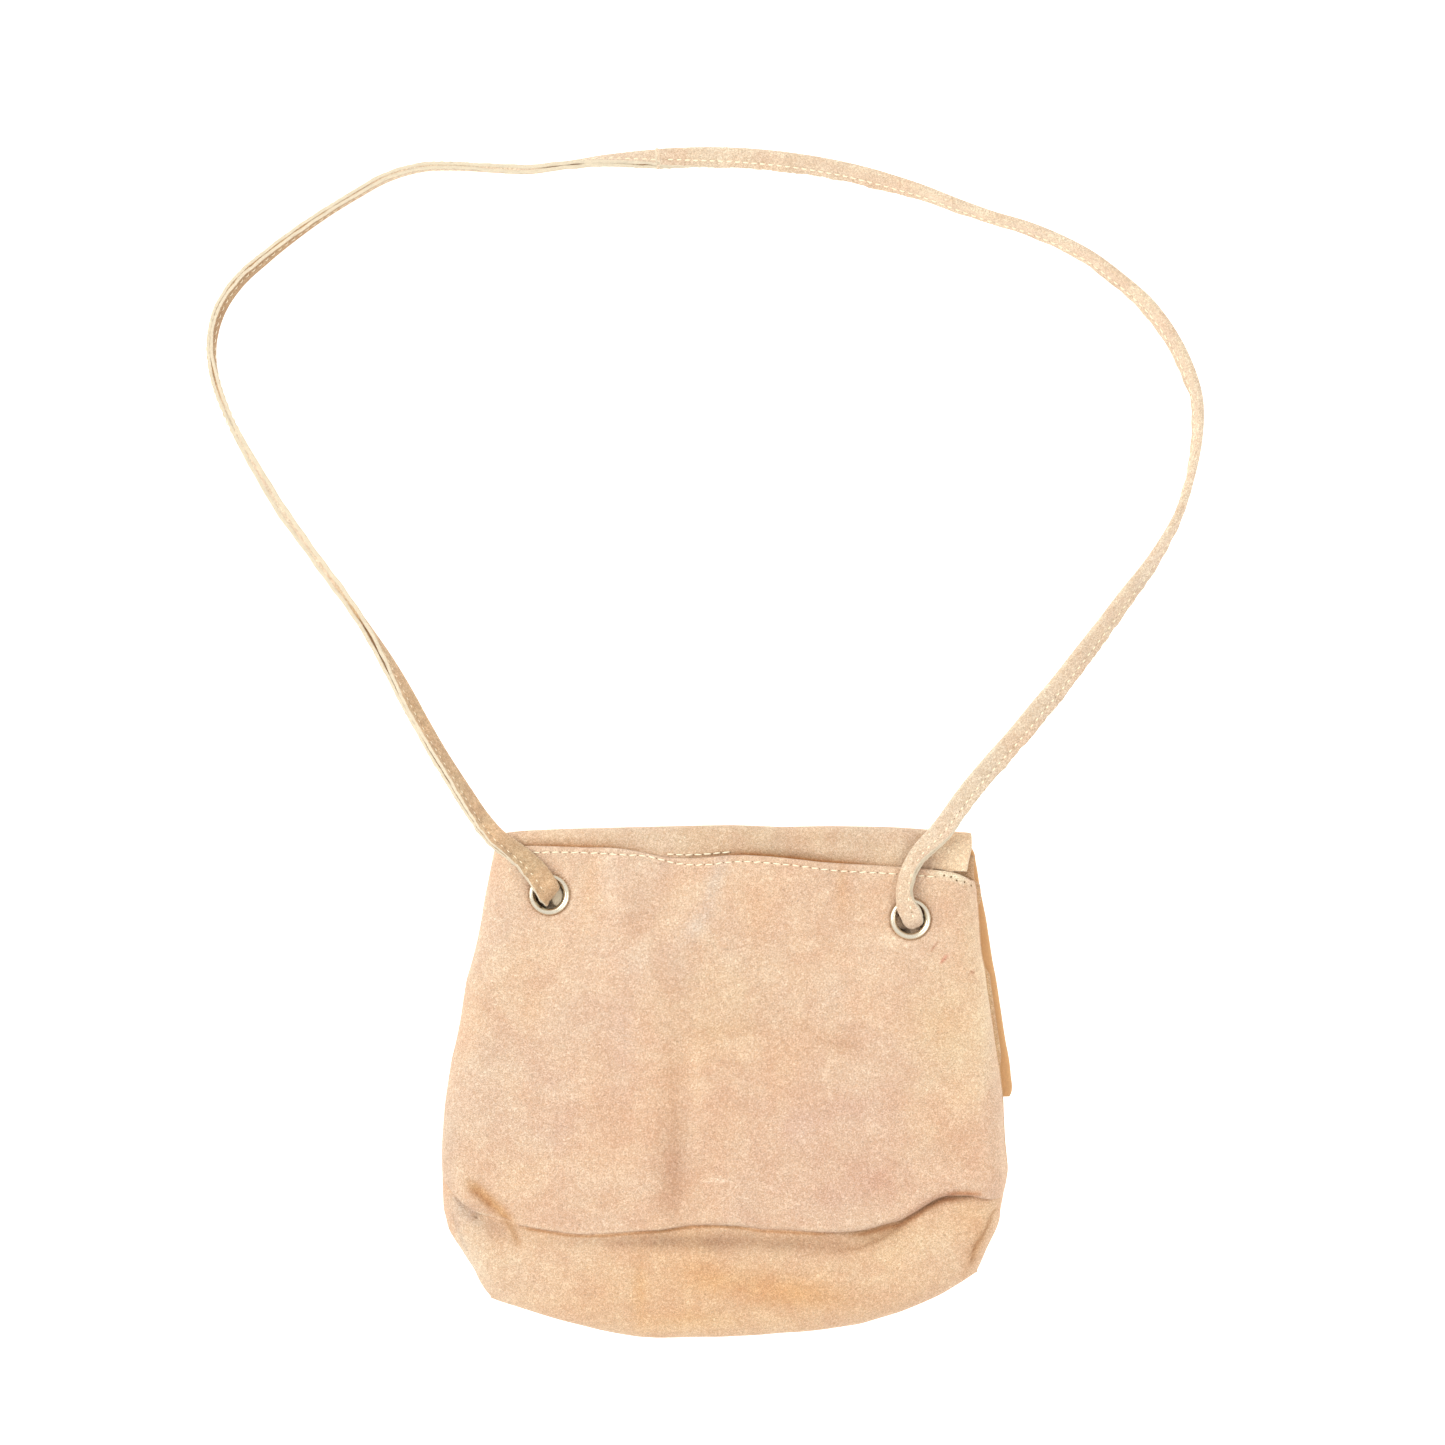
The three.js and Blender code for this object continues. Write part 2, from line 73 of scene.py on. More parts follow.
def area_light(name, where, aim, size, watts, colour):
    data = bpy.data.lights.new(name, "AREA")
    data.shape = "DISK"
    data.size = size
    data.energy = watts
    data.color = colour
    ob = bpy.data.objects.new(name, data)
    ob.location = where
    ob.rotation_euler = (Vector(aim) - Vector(where)).to_track_quat("-Z", "Y").to_euler()
    scene.collection.objects.link(ob)
    return ob


area_light("key", (-1.35, 0.65, 1.45), (0, 0.05, 0), 1.3, 27.0, (1.0, 0.975, 0.94))
area_light("fill", (1.15, -0.55, 1.4), (0, 0.1, 0), 1.2, 11.0, (1.0, 0.985, 0.96))

# ------------------------------------------------------------------ outlines, mm
LEFT_EDGE = [
    (-92.33, 94.55), (-93.13, 92.55), (-93.92, 88.56), (-94.72, 84.58), (-95.52, 80.59), (-96.32, 76.6), (-97.11, 72.61),
    (-98.31, 64.64), (-99.91, 56.66), (-101.9, 48.69), (-104.29, 40.71), (-105.49, 32.73), (-106.69, 24.76), (-108.28, 16.78),
    (-110.27, 8.81), (-111.47, 0.83), (-112.67, -7.15), (-113.46, -15.12), (-114.06, -23.1), (-114.26, -29.08), (-114.06, -35.06),
    (-113.86, -41.04), (-113.46, -51.01), (-112.27, -55), (-111.47, -58.99), (-109.08, -62.98), (-106.29, -66.97), (-103.89, -70.95),
    (-101.1, -74.94), (-99.51, -78.93), (-97.11, -82.92), (-94.72, -85.71),
]
RIGHT_EDGE = [
    (98.05, 81.42), (99.24, 78.23), (99.84, 70.66), (100.64, 58.7), (101.28, 51.12), (102.83, 44.35), (103.59, 37.57),
    (105.02, 28.4), (107.02, 14.45), (108.21, 6.88), (109.69, -5.08), (110.21, -15.04), (110.6, -23.02), (111.2, -28.99),
    (111.8, -34.97), (111, -40.95), (109.81, -46.93), (109.01, -50.92), (108.81, -54.9), (107.42, -58.89), (105.42, -62.88),
    (103.43, -66.86), (101.84, -70.85), (99.84, -75.23),
]
TOP_EDGE = [
    (-92.73, 93.17), (-88.36, 93.96), (-82.41, 94.36), (-77.64, 94.64), (-68.11, 94.36), (-55.8, 93.96), (-47.86, 93.96),
    (-40.72, 93.37), (-34.36, 92.18), (-28.41, 90.79), (-22.85, 89.99), (-16.1, 89.71), (-10.93, 89.87), (-6.17, 90.27),
    (-0.61, 90.79), (6.93, 90.99), (16.86, 90.39), (28.77, 89.2), (36.72, 88.21), (48.63, 87.41), (60.54, 86.82),
    (68.88, 86.22), (78.81, 85.43), (85.56, 84.83), (91.51, 83.64), (94.69, 82.05), (97.67, 80.46),
]
BOTTOM_EDGE = [
    (-95.66, -86.06), (-90.87, -87.85), (-82.88, -90.25), (-74.89, -92.85), (-66.9, -95.24), (-58.91, -97.24), (-50.93, -99.24),
    (-42.94, -100.83), (-34.95, -102.03), (-26.96, -102.43), (-18.97, -102.23), (-10.99, -102.03), (-3, -102.03), (4.99, -101.63),
    (12.98, -101.23), (20.97, -100.43), (28.95, -100.03), (36.94, -99.24), (44.93, -98.04), (52.92, -96.84), (60.91, -94.44),
    (68.89, -92.05), (76.88, -88.85), (84.87, -85.26), (92.86, -80.46), (96.85, -77.87), (100.05, -75.67),
]
FLAP_RIGHT_EDGE = [
    (97.77, 99.22), (98.16, 96.42), (98.56, 92.42), (98.96, 88.42), (99.76, 84.42), (100.96, 76.02), (101.76, 72.42),
    (103.36, 64.43), (104.56, 56.43), (105.76, 48.43), (107.36, 40.44), (108.56, 32.44), (109.76, 24.44), (110.96, 16.44),
    (112.56, 8.45), (113.36, 0.45), (114.16, -4.75),
]
STRAP_RIGHT = [
    (73.3, 62.7, 10.6, 0), (73.3, 62.8, 14.4, 0), (72.9, 63.9, 17.0, -2), (72.2, 66.2, 18.5, -5), (71.3, 69.8, 18.8, -9),
    (70.7, 74, 18.6, -20), (71.2, 80, 18.0, -29), (73.4, 86.4, 17.8, -31), (77.5, 92.8, 17.7, -28), (82.5, 98, 17.4, -20),
    (87.05, 103.54, 16.8, -10), (95.01, 114.63, 16.2, 2), (104.21, 125.73, 14.7, 11), (113.91, 136.44, 11.8, 13), (123.26, 147.58, 8.6, 17),
    (132.58, 158.75, 6.2, 24), (141.45, 170.33, 4.9, 34), (150.3, 181.92, 3.94, 43), (158.66, 193.49, 4.22, 52), (167.42, 205.06, 4.46, 63),
    (174.99, 217.03, 4.57, 75), (181.38, 230.2, 4.54, 86), (185.38, 243.77, 4.51, 91), (187.77, 258.14, 4.55, 95), (187.37, 272.5, 4.58, 104),
    (182.98, 286.08, 4.49, 112), (176.21, 298.86, 4.41, 114), (167.43, 310.43, 4.37, 115), (156.65, 320.01, 4.39, 114), (145.07, 328.79, 4.46, 112),
    (132.7, 335.57, 4.51, 108), (119.12, 341.15, 4.55, 105), (105.55, 345.14, 4.55, 104), (91.99, 349.93, 4.54, 106), (78.02, 355.13, 4.44, 113),
    (64.46, 359.15, 4.13, 127), (50.5, 362.78, 3.82, 137), (36.13, 365.6, 3.62, 143), (21.76, 367.62, 3.4, 148), (7.39, 368.86, 3.01, 156),
    (-6.99, 369.35, 2.23, 172), (-21.37, 369.1, 2.69, 196), (-28.01, 368.84, 3.3, 208),
]
STRAP_LEFT = [
    (-28.31, 368.82, 3.32, 208), (-35.73, 368.55, 3.97, 224), (-50.09, 367.69, 4.55, 250), (-64.46, 365.89, 4.56, 264), (-78.83, 363.9, 4.5, 270),
    (-93.19, 364.3, 4.52, 270), (-107.56, 365.1, 4.53, 271), (-121.93, 364.69, 4.56, 273), (-135.89, 360.7, 4.58, 275), (-148.26, 353.92, 4.58, 273),
    (-160.64, 346.33, 4.58, 274), (-172.61, 337.95, 4.57, 278), (-183.79, 329.18, 4.55, 283), (-194.96, 319.2, 4.51, 288), (-202.54, 307.63, 4.55, 285),
    (-205.73, 294.05, 4.58, 277), (-204.14, 279.69, 4.51, 267), (-199.35, 266.12, 4.52, 268), (-192.97, 253.15, 4.54, 266), (-185.78, 240.58, 4.55, 265),
    (-178.2, 228.21, 4.54, 266), (-169.82, 216.63, 4.52, 268), (-161.44, 205.06, 4.52, 269), (-152.66, 193.49, 4.56, 270), (-144.27, 181.51, 4.58, 272),
    (-136.67, 169.54, 4.9, 288), (-129.46, 156.76, 5.3, 304), (-122.64, 144, 6, 309), (-115.38, 131.64, 7.3, 305), (-107.69, 119.71, 9.6, 306),
    (-99.2, 106.9, 13.2, 317), (-92.55, 98.8, 16.5, 325), (-87.0, 94.2, 17.4, 338), (-82.0, 90.4, 17.8, 346), (-77.59, 86.04, 18.1, 348),
    (-74.09, 81.7, 18.5, 345), (-72.17, 78.77, 18.8, 347), (-70.91, 76.63, 18.6, 350), (-70.49, 75.15, 17.2, 355), (-70.5, 74.9, 14.4, 360),
    (-70.5, 74.9, 10.6, 360),
]
SEAM_DETAIL = [
    (-115.77, -38.27), (-113.59, -39.46), (-111.8, -41.05), (-109.42, -43.83), (-106.64, -46.61), (-103.86, -49.39),
    (-101.47, -50.98), (-98.3, -51.97), (-94.33, -52.97), (-90.35, -54.16), (-86.38, -55.55), (-82.81, -56.54), (-76.06, -57.73),
    (-63.35, -59.72), (-57, -60.11), (-46.67, -59.72), (-34.76, -58.76), (-26.82, -58.37), (-14.51, -56.54), (-6.57, -56.34),
    (4.16, -56.74), (13.69, -58.13), (25.2, -58.6), (33.94, -59.2), (42.28, -59.44), (50.22, -59), (55.78, -58.13), (62.53, -56.34),
    (68.49, -54.95), (74.84, -51.38), (78.41, -48.88), (81.99, -46.77), (85.16, -45.42), (87.94, -44.94), (96.28, -44.94),
    (98.27, -45.22), (100.65, -45.82), (105.02, -46.45), (108.59, -46.14), (112.17, -46.22),
]
FOLD_LINE = [
    (-92.28, 99.12), (-88.7, 99.35), (-82.72, 100.15), (-74.74, 100.55), (-66.77, 100.95), (-50.83, 101.35), (-34.88, 101.75),
    (-18.94, 102.14), (0.99, 102.54), (12.95, 102.14), (20.92, 101.75), (40.85, 102.14), (64.77, 101.75), (76.72, 100.95),
    (86.69, 100.15), (95.46, 99.55), (99.05, 99.35),
]
HEM_ROW = [
    (-90.34, 91.27), (-82.4, 91.67), (-75.33, 91.86), (-68.11, 91.98), (-62.95, 91.9), (-54.21, 91.63), (-46.27, 91.19),
    (-40.04, 90.83), (-34.76, 90.63), (-30.19, 90), (-26.82, 89.05), (-22.05, 87.77), (-17.88, 87.06), (-12.92, 86.82),
    (-6.17, 87.06), (-0.61, 87.89), (4.95, 88.21), (8.52, 88.21), (15.27, 87.77), (20.04, 87.3), (27.58, 86.62), (33.54, 85.79),
    (40.68, 84.84), (48.62, 84.24), (60.53, 83.72), (68.87, 83.13), (78.8, 82.45), (85.55, 81.86), (91.5, 80.87), (94.68, 79.48),
    (97.86, 77.69),
]
LEFT_PUCKER = [
    (-103.09, -38.32), (-99.71, -41.89), (-95.14, -45.87), (-90.18, -49.44), (-88.55, -52.46), (-85.21, -54.8), (-82.83, -56.59),
]
RIGHT_LINE = [
    (108.73, -50.03), (105.95, -51.23), (104.76, -53.37), (103.56, -57.03), (101.97, -59.77), (100.22, -62.76), (98.99, -63.75),
    (98.23, -64.94), (97.8, -67.37), (97.2, -70.43), (96.8, -73.09),
]
# Spots that tone the rear panel: centre x and y, radii along and across, turn in degrees, colour factor. Besides its
# own uneven colour they hold painted light and shade: painted shade in the hollows of the gathers under the hem, along
# the short crease and the sweeping fold, on the left wall of the middle valley and on the rounded lower left side;
# painted light on the gathers' slopes that face the key lamp, on the valley's right wall, and along the right rim where
# it turns away from the lamps.
REAR_TONES_PAINTED_LIGHT_AND_SHADE = [
    (96.3, 63.0, 3.6, 12.7, 0, (1.040, 1.080, 1.060)),
    (-3.0, 29.2, 27.8, 23.8, 0, (1.000, 1.000, 0.940)),
    (86.3, 21.3, 15.9, 23.8, 0, (1.000, 1.000, 0.930)),
    (-10.9, -26.4, 27.8, 23.8, 0, (0.970, 0.955, 0.945)),
    (94.7, -22.4, 11.9, 19.9, 0, (0.990, 0.930, 0.900)),
    (-0.2, 74.9, 119.1, 29.8, 0, (1.020, 1.050, 1.060)),
    (-25.2, -32.3, 6.0, 23.0, 0, (0.940, 0.900, 0.870)),
    (12.9, -14.4, 79.4, 35.7, 0, (0.985, 0.955, 0.945)),
    (48.6, -42.2, 35.7, 14.3, 10, (0.980, 0.950, 0.940)),
    (-66.5, 70.9, 15.9, 19.9, 0, (1.020, 1.040, 1.060)),
    (-98.3, 33.2, 15.9, 59.6, -8, (0.970, 0.995, 1.005)),
    (-111.8, -26.4, 5.6, 23.8, 0, (0.900, 0.950, 0.990)),
    (-102.3, -51.0, 6.7, 3.2, -32, (0.780, 0.800, 0.850)),
    (-34.8, 53.1, 19.9, 27.8, 0, (0.980, 0.970, 0.980)),
    (36.7, 61.0, 35.7, 23.8, 0, (0.980, 0.950, 0.930)),
    (103.4, 41.1, 5.6, 39.7, -6, (1.120, 1.220, 1.220)),
    (90.3, 9.4, 15.9, 35.7, 0, (1.020, 1.040, 1.010)),
    (-20.5, -22.4, 3.6, 24.6, 0, (0.910, 0.860, 0.830)),
    (-22.9, -43.0, 6.0, 11.9, 0, (0.930, 0.890, 0.860)),
    (-23.2, 9.4, 3.2, 19.9, 0, (0.940, 0.910, 0.890)),
    (-18.1, 45.9, 5.2, 8.7, 0, (0.940, 0.930, 0.940)),
    (-12.1, 9.4, 2.4, 19.1, 0, (1.050, 1.080, 1.090)),
    (-12.5, -16.4, 2.0, 15.1, 0, (1.040, 1.060, 1.060)),
    (-30.8, -14.4, 6.4, 27.8, 0, (1.010, 1.020, 1.030)),
    (-54.6, 77.7, 3.6, 11.9, -8, (0.990, 0.930, 0.870)),
    (-45.9, 78.9, 3.6, 15.1, 0, (1.050, 1.090, 1.120)),
    (-36.0, 70.9, 4.0, 16.7, -4, (0.950, 0.930, 0.920)),
    (-23.6, 78.9, 5.2, 11.9, 0, (0.960, 0.950, 0.950)),
    (-4.6, 80.9, 3.2, 11.1, -18, (0.950, 1.040, 1.150)),
    (-12.1, 62.6, 3.6, 7.9, -35, (0.950, 1.030, 1.130)),
    (3.0, 86.4, 4.8, 4.0, 0, (1.030, 1.060, 1.070)),
    (11.7, 67.0, 4.4, 16.7, 0, (0.970, 0.910, 0.870)),
    (28.8, 77.7, 7.9, 9.5, 0, (0.960, 0.920, 0.900)),
    (45.5, 78.5, 3.2, 11.1, 0, (0.990, 0.900, 0.800)),
    (53.4, 73.7, 2.8, 12.7, 0, (1.020, 1.050, 1.040)),
    (55.8, 48.3, 6.4, 8.7, -10, (1.020, 1.060, 1.100)),
    (43.9, 38.4, 5.6, 6.4, 0, (1.000, 1.040, 1.080)),
    (65.3, 57.8, 5.6, 4.0, -30, (1.110, 1.180, 1.190)),
    (-78.4, 31.2, 6.4, 9.5, 0, (1.000, 0.950, 0.890)),
    (-34.8, 49.1, 4.8, 7.9, 0, (1.010, 1.060, 1.100)),
    (-50.6, 48.3, 4.8, 6.4, 0, (1.030, 1.050, 1.060)),
    (-40.7, 17.3, 6.0, 23.8, 0, (0.980, 0.990, 1.040)),
    (-3.0, 20.9, 12.7, 2.8, 4, (0.940, 0.900, 0.860)),
    (6.9, 24.1, 5.6, 3.2, 0, (0.960, 0.930, 0.900)),
    (44.7, 15.7, 6.0, 3.6, -15, (0.940, 0.920, 0.890)),
    (-66.5, -10.5, 10.3, 14.3, 0, (0.980, 0.980, 1.010)),
    (52.6, -10.5, 14.3, 7.9, 0, (0.970, 0.950, 0.970)),
    (28.8, -16.8, 10.3, 7.1, 0, (0.970, 0.950, 0.990)),
    (57.4, -38.3, 11.1, 8.7, 0, (0.950, 0.890, 0.900)),
    (42.7, -46.2, 7.9, 5.6, 0, (0.960, 0.940, 0.960)),
    (82.4, -18.4, 11.9, 7.1, -25, (1.000, 0.970, 0.930)),
    (90.3, -28.7, 7.9, 3.6, -20, (0.960, 0.930, 0.910)),
    (-80.8, -34.3, 8.7, 7.9, 0, (1.020, 1.030, 1.000)),
    (-50.6, -48.2, 23.8, 4.8, 0, (0.990, 0.970, 0.950)),
]
# Spots that tone the base: centre x and y, radii along and across, turn in degrees, colour factor. The golden ones are
# its own colour; the darker band just below the seam is painted shade under the rear panel's lip, and so are the darker
# spots beside the seam's left end, at its right end and in the crease at the right.
BASE_TONES_AND_PAINTED_SHADE = [
    (-25.2, -62.1, 5.6, 2.4, 0, (0.900, 0.890, 0.900)),
    (-6.2, -63.3, 4.8, 2.4, 0, (0.910, 0.890, 0.880)),
    (21.6, -64.1, 6.4, 2.8, 0, (0.910, 0.900, 0.900)),
    (-40.7, -63.3, 4.8, 2.0, 0, (0.930, 0.920, 0.930)),
    (-34.8, -82.0, 3.2, 13.5, 0, (0.980, 0.910, 0.800)),
    (-8.9, -76.4, 10.3, 6.7, -20, (0.980, 0.900, 0.780)),
    (30.8, -83.9, 21.4, 6.0, -6, (0.980, 0.870, 0.730)),
    (12.9, -82.8, 43.7, 11.9, -4, (0.990, 0.960, 0.910)),
    (-14.9, -62.5, 24.6, 3.2, 0, (0.880, 0.860, 0.850)),
    (-10.9, -96.2, 27.8, 4.0, 0, (1.030, 1.050, 1.020)),
    (70.5, -62.1, 19.9, 7.1, 20, (1.030, 1.050, 1.020)),
    (11.7, -80.4, 17.5, 8.7, -10, (0.980, 0.910, 0.820)),
    (-14.9, -93.1, 19.9, 4.0, 0, (0.990, 0.940, 0.860)),
    (-82.4, -74.8, 17.5, 11.9, -20, (1.040, 1.100, 1.180)),
    (-103.1, -66.1, 8.7, 16.7, 0, (1.000, 1.120, 1.260)),
    (-88.4, -74.0, 11.9, 10.3, -20, (1.010, 1.060, 1.070)),
    (-108.2, -48.2, 7.9, 7.1, 0, (0.960, 1.000, 1.080)),
    (-66.5, -68.1, 15.9, 4.8, 0, (0.980, 0.980, 1.000)),
    (76.4, -66.1, 17.5, 8.7, 20, (1.040, 1.080, 1.110)),
    (6.9, -62.9, 43.7, 3.6, 0, (0.780, 0.730, 0.700)),
    (38.7, -64.9, 15.1, 3.2, 0, (0.860, 0.820, 0.800)),
    (-31.6, -62.5, 19.9, 3.2, 0, (0.890, 0.880, 0.880)),
    (-60.6, -62.1, 16.7, 2.4, 0, (0.930, 0.930, 0.940)),
    (98.7, -66.1, 2.4, 9.5, -20, (0.860, 0.760, 0.620)),
    (97.1, -53.4, 7.9, 7.9, 0, (0.980, 0.910, 0.830)),
    (-91.5, -56.9, 10.3, 4.4, -20, (0.840, 0.820, 0.840)),
    (-102.3, -51.8, 6.7, 3.2, -32, (0.800, 0.820, 0.860)),
]
# Lines that tone the rear panel: points, width, colour factor, what share of the line fades in at each end. Painted
# shade among them: in the pucker of the lower left corner, along the sweeping fold, and in the short crease and along
# the seam at the lower right; the pale band at the right end of the hem is its raw edge's own colour.
REAR_LINES_AND_PAINTED_SHADE = [
    ([(-12.1, -38.9), (-7.8, -38.1), (-3.0, -37.9), (2.2, -38.5)], 1.03, (1.090, 1.140, 1.150), 0.3),
    ([(11.7, -39.7), (16.1, -40.7), (20.8, -40.9)], 0.95, (1.080, 1.120, 1.130), 0.3),
    ([(83.6, 57.0), (80.4, 51.9)], 0.48, (0.720, 0.580, 0.550), 0.3),
    ([(87.9, 51.9), (86.3, 49.9), (84.0, 47.1)], 0.64, (0.800, 0.500, 0.480), 0.3),
    ([(98.3, 44.7), (96.3, 43.5)], 0.87, (0.660, 0.450, 0.380), 0.4),
    ([(-10.9, -38.7), (-4.6, -37.9), (1.8, -38.7)], 1.03, (1.080, 1.150, 1.220), 0.3),
    ([(13.7, -41.0), (21.2, -41.9)], 0.95, (1.070, 1.130, 1.190), 0.4),
    ([(78.4, 84.2), (86.3, 83.2), (92.3, 81.7), (97.1, 78.9)], 1.75, (1.160, 1.420, 1.500), 0.3),
    ([(70.5, -53.8), (78.4, -47.4), (86.3, -43.8), (102.2, -43.8)], 1.59, (0.900, 0.820, 0.780), 0.2),
    ([(86.0, -44.4), (92.3, -43.6), (101.8, -44.0)], 1.03, (0.780, 0.600, 0.480), 0.2),
    ([(-105.0, -37.5), (-99.1, -42.2), (-93.5, -47.4), (-88.8, -52.2), (-84.0, -57.3)], 2.18, (0.870, 0.740, 0.540), 0.2),
    ([(-103.9, -40.3), (-98.3, -45.0), (-91.9, -50.6)], 1.03, (0.780, 0.660, 0.540), 0.25),
    ([(-100.7, -51.0), (-96.3, -52.2), (-91.9, -53.0)], 0.79, (1.140, 1.250, 1.250), 0.3),
    ([(11.3, 34.0), (24.8, 25.3), (42.7, 16.1), (58.6, 8.6), (73.2, -0.9)], 2.78, (0.960, 0.930, 0.910), 0.25),
    ([(-82.8, -55.8), (-63.4, -58.9), (-46.7, -58.9), (-30.8, -57.7), (-14.5, -55.8), (4.2, -55.9), (25.2, -57.7), (48.6, -58.1)], 0.64, (1.050, 1.090, 1.100), 0.05),
]
# Lines that tone the base: points, width, colour factor, what share of the line fades in at each end. Painted shade
# among them: along the seam under the rear panel's lip, deepest at the right, in the creases beside the seam at both
# ends, and in the crease that runs down the right end.
BASE_LINES_AND_PAINTED_SHADE = [
    ([(-103.9, -50.6), (-106.6, -47.4), (-110.2, -43.8)], 1.19, (0.750, 0.740, 0.760), 0.3),
    ([(-100.3, -52.8), (-99.1, -53.4)], 1.19, (0.420, 0.370, 0.330), 0.5),
    ([(-110.2, -50.6), (-108.2, -54.8), (-107.0, -59.3), (-105.6, -62.5), (-102.7, -70.0)], 1.03, (0.840, 0.860, 0.900), 0.3),
    ([(-90.3, -51.0), (-86.4, -56.5), (-84.0, -61.3), (-82.4, -66.1)], 1.59, (0.880, 0.800, 0.680), 0.3),
    ([(91.5, -59.3), (91.5, -60.1)], 0.48, (0.450, 0.300, 0.200), 0.5),
    ([(10.9, -95.8), (10.9, -96.2)], 0.40, (0.500, 0.400, 0.300), 0.5),
    ([(-82.8, -57.1), (-76.1, -58.3), (-63.4, -60.3), (-57.0, -60.7), (-46.7, -60.3), (-34.8, -59.3), (-26.8, -58.9), (-14.5, -57.1), (-6.6, -56.9), (4.2, -57.3), (13.7, -58.7), (25.2, -59.2), (33.9, -59.8), (42.3, -60.0)], 0.52, (0.800, 0.660, 0.520), 0.04),
    ([(44.7, -60.5), (50.2, -60.1), (55.8, -59.3), (62.5, -57.5), (68.5, -56.3), (74.8, -52.8), (80.4, -49.0), (86.0, -46.4), (93.1, -45.8), (98.3, -45.6)], 1.19, (0.660, 0.500, 0.380), 0.15),
    ([(47.8, -61.3), (59.0, -60.5), (68.5, -58.1), (75.6, -54.5)], 2.38, (0.800, 0.740, 0.680), 0.3),
    ([(39.9, -66.9), (52.6, -65.3), (62.5, -61.3), (70.5, -55.0)], 0.87, (0.780, 0.720, 0.660), 0.3),
    ([(108.6, -49.8), (105.8, -51.0), (104.6, -53.1), (103.4, -56.8), (101.8, -59.5), (100.1, -62.5), (98.9, -63.5), (98.1, -64.7), (97.7, -67.1), (97.1, -70.2), (96.7, -72.8)], 0.56, (0.700, 0.580, 0.460), 0.1),
]
BASE_TONE = (1.000, 0.965, 0.885)
STRIP_TONE = (0.950, 0.985, 0.970)
# the flap's lower sheet is toned darker and more orange: partly its own colour, partly painted shade where it lies low
# beside the bag
FLAP_TONE = (1.000, 0.790, 0.460)
HEM_PITCH = 3.84
HEM_END_HOLES = [
    (85.94, 82.69), (88.72, 82.14), (90.91, 80.63), (94.08, 79.95), (96.86, 78.48),
]



def curve(points, key, sigma=1.6, step=0.4):
    """A smooth function through a table of points, of the coordinate key."""
    rows = sorted(points, key=lambda r: r[key])
    k = np.array([r[key] for r in rows]); v = np.array([r[1 - key] for r in rows])
    g = np.arange(k[0], k[-1] + step, step)
    y = np.interp(g, k, v)
    if sigma:
        n = int(4 * sigma / step)
        w = np.exp(-0.5 * (np.arange(-n, n + 1) * step / sigma) ** 2); w /= w.sum()
        lead = y[0] + (y[1] - y[0]) * np.arange(-n, 0); tail = y[-1] + (y[-1] - y[-2]) * np.arange(1, n + 1)
        y = np.convolve(np.concatenate([lead, y, tail]), w, "valid")
    return lambda q: np.interp(q, g, y)


left_at = curve(LEFT_EDGE, 1, 1.2)
right_at = curve(RIGHT_EDGE, 1, 1.2)
top_at = curve(TOP_EDGE, 0, 1.2)
seam_at = curve(SEAM_DETAIL, 0, 0.8)
bottom_at = curve(BOTTOM_EDGE, 0, 1.5)
flap_right_at = curve(FLAP_RIGHT_EDGE, 1, 1.2)
fold_at = curve(FOLD_LINE, 0, 2.0)


def clamp(v, lo, hi):
    return np.minimum(hi, np.maximum(lo, v))


def smooth(a, b, v):
    t = clamp((np.asarray(v, float) - a) / (b - a), 0.0, 1.0)
    return t * t * (3 - 2 * t)


def waves(seed, low, high, n=26):
    """A smooth random field with wavelengths from low to high mm and a spread of about 1."""
    r = np.random.RandomState(seed)
    ang = r.uniform(0, 2 * math.pi, n); lam = np.exp(r.uniform(math.log(low), math.log(high), n))
    ph = r.uniform(0, 2 * math.pi, n); kx = np.cos(ang) / lam * 2 * math.pi; ky = np.sin(ang) / lam * 2 * math.pi

    def f(x, y):
        out = np.zeros(np.broadcast(x, y).shape)
        for a, b, c in zip(kx, ky, ph):
            out = out + np.sin(a * x + b * y + c)
        return out * math.sqrt(2.0 / n)
    return f


def line_field(x, y, pts):
    """Distance from a polyline, and how far along it the nearest point is, from 0 to 1."""
    best = np.full(np.broadcast(x, y).shape, 1e9); frac = np.zeros_like(best)
    seg = [math.dist(a, b) for a, b in zip(pts, pts[1:])]; total = sum(seg); run = 0.0
    for (a, b), l in zip(zip(pts, pts[1:]), seg):
        dx, dy = (b[0] - a[0]) / l, (b[1] - a[1]) / l
        t = clamp((x - a[0]) * dx + (y - a[1]) * dy, 0, l)
        d = np.hypot(x - a[0] - t * dx, y - a[1] - t * dy)
        near = d < best
        best = np.where(near, d, best); frac = np.where(near, (run + t) / total, frac)
        run += l
    return best, frac


def crease(x, y, pts, height, width, ends=0.25):
    d, f = line_field(x, y, pts)
    e = clamp(np.minimum(f, 1 - f) / max(ends, 1e-6), 0, 1) if ends else 1.0
    return height * np.exp(-(d / width) ** 2) * np.sqrt(e)


def spot(x, y, cx, cy, rx, ry, turn=0.0):
    c, s = math.cos(math.radians(turn)), math.sin(math.radians(turn))
    u = ((x - cx) * c + (y - cy) * s) / rx; v = (-(x - cx) * s + (y - cy) * c) / ry
    return np.exp(-(u * u + v * v))


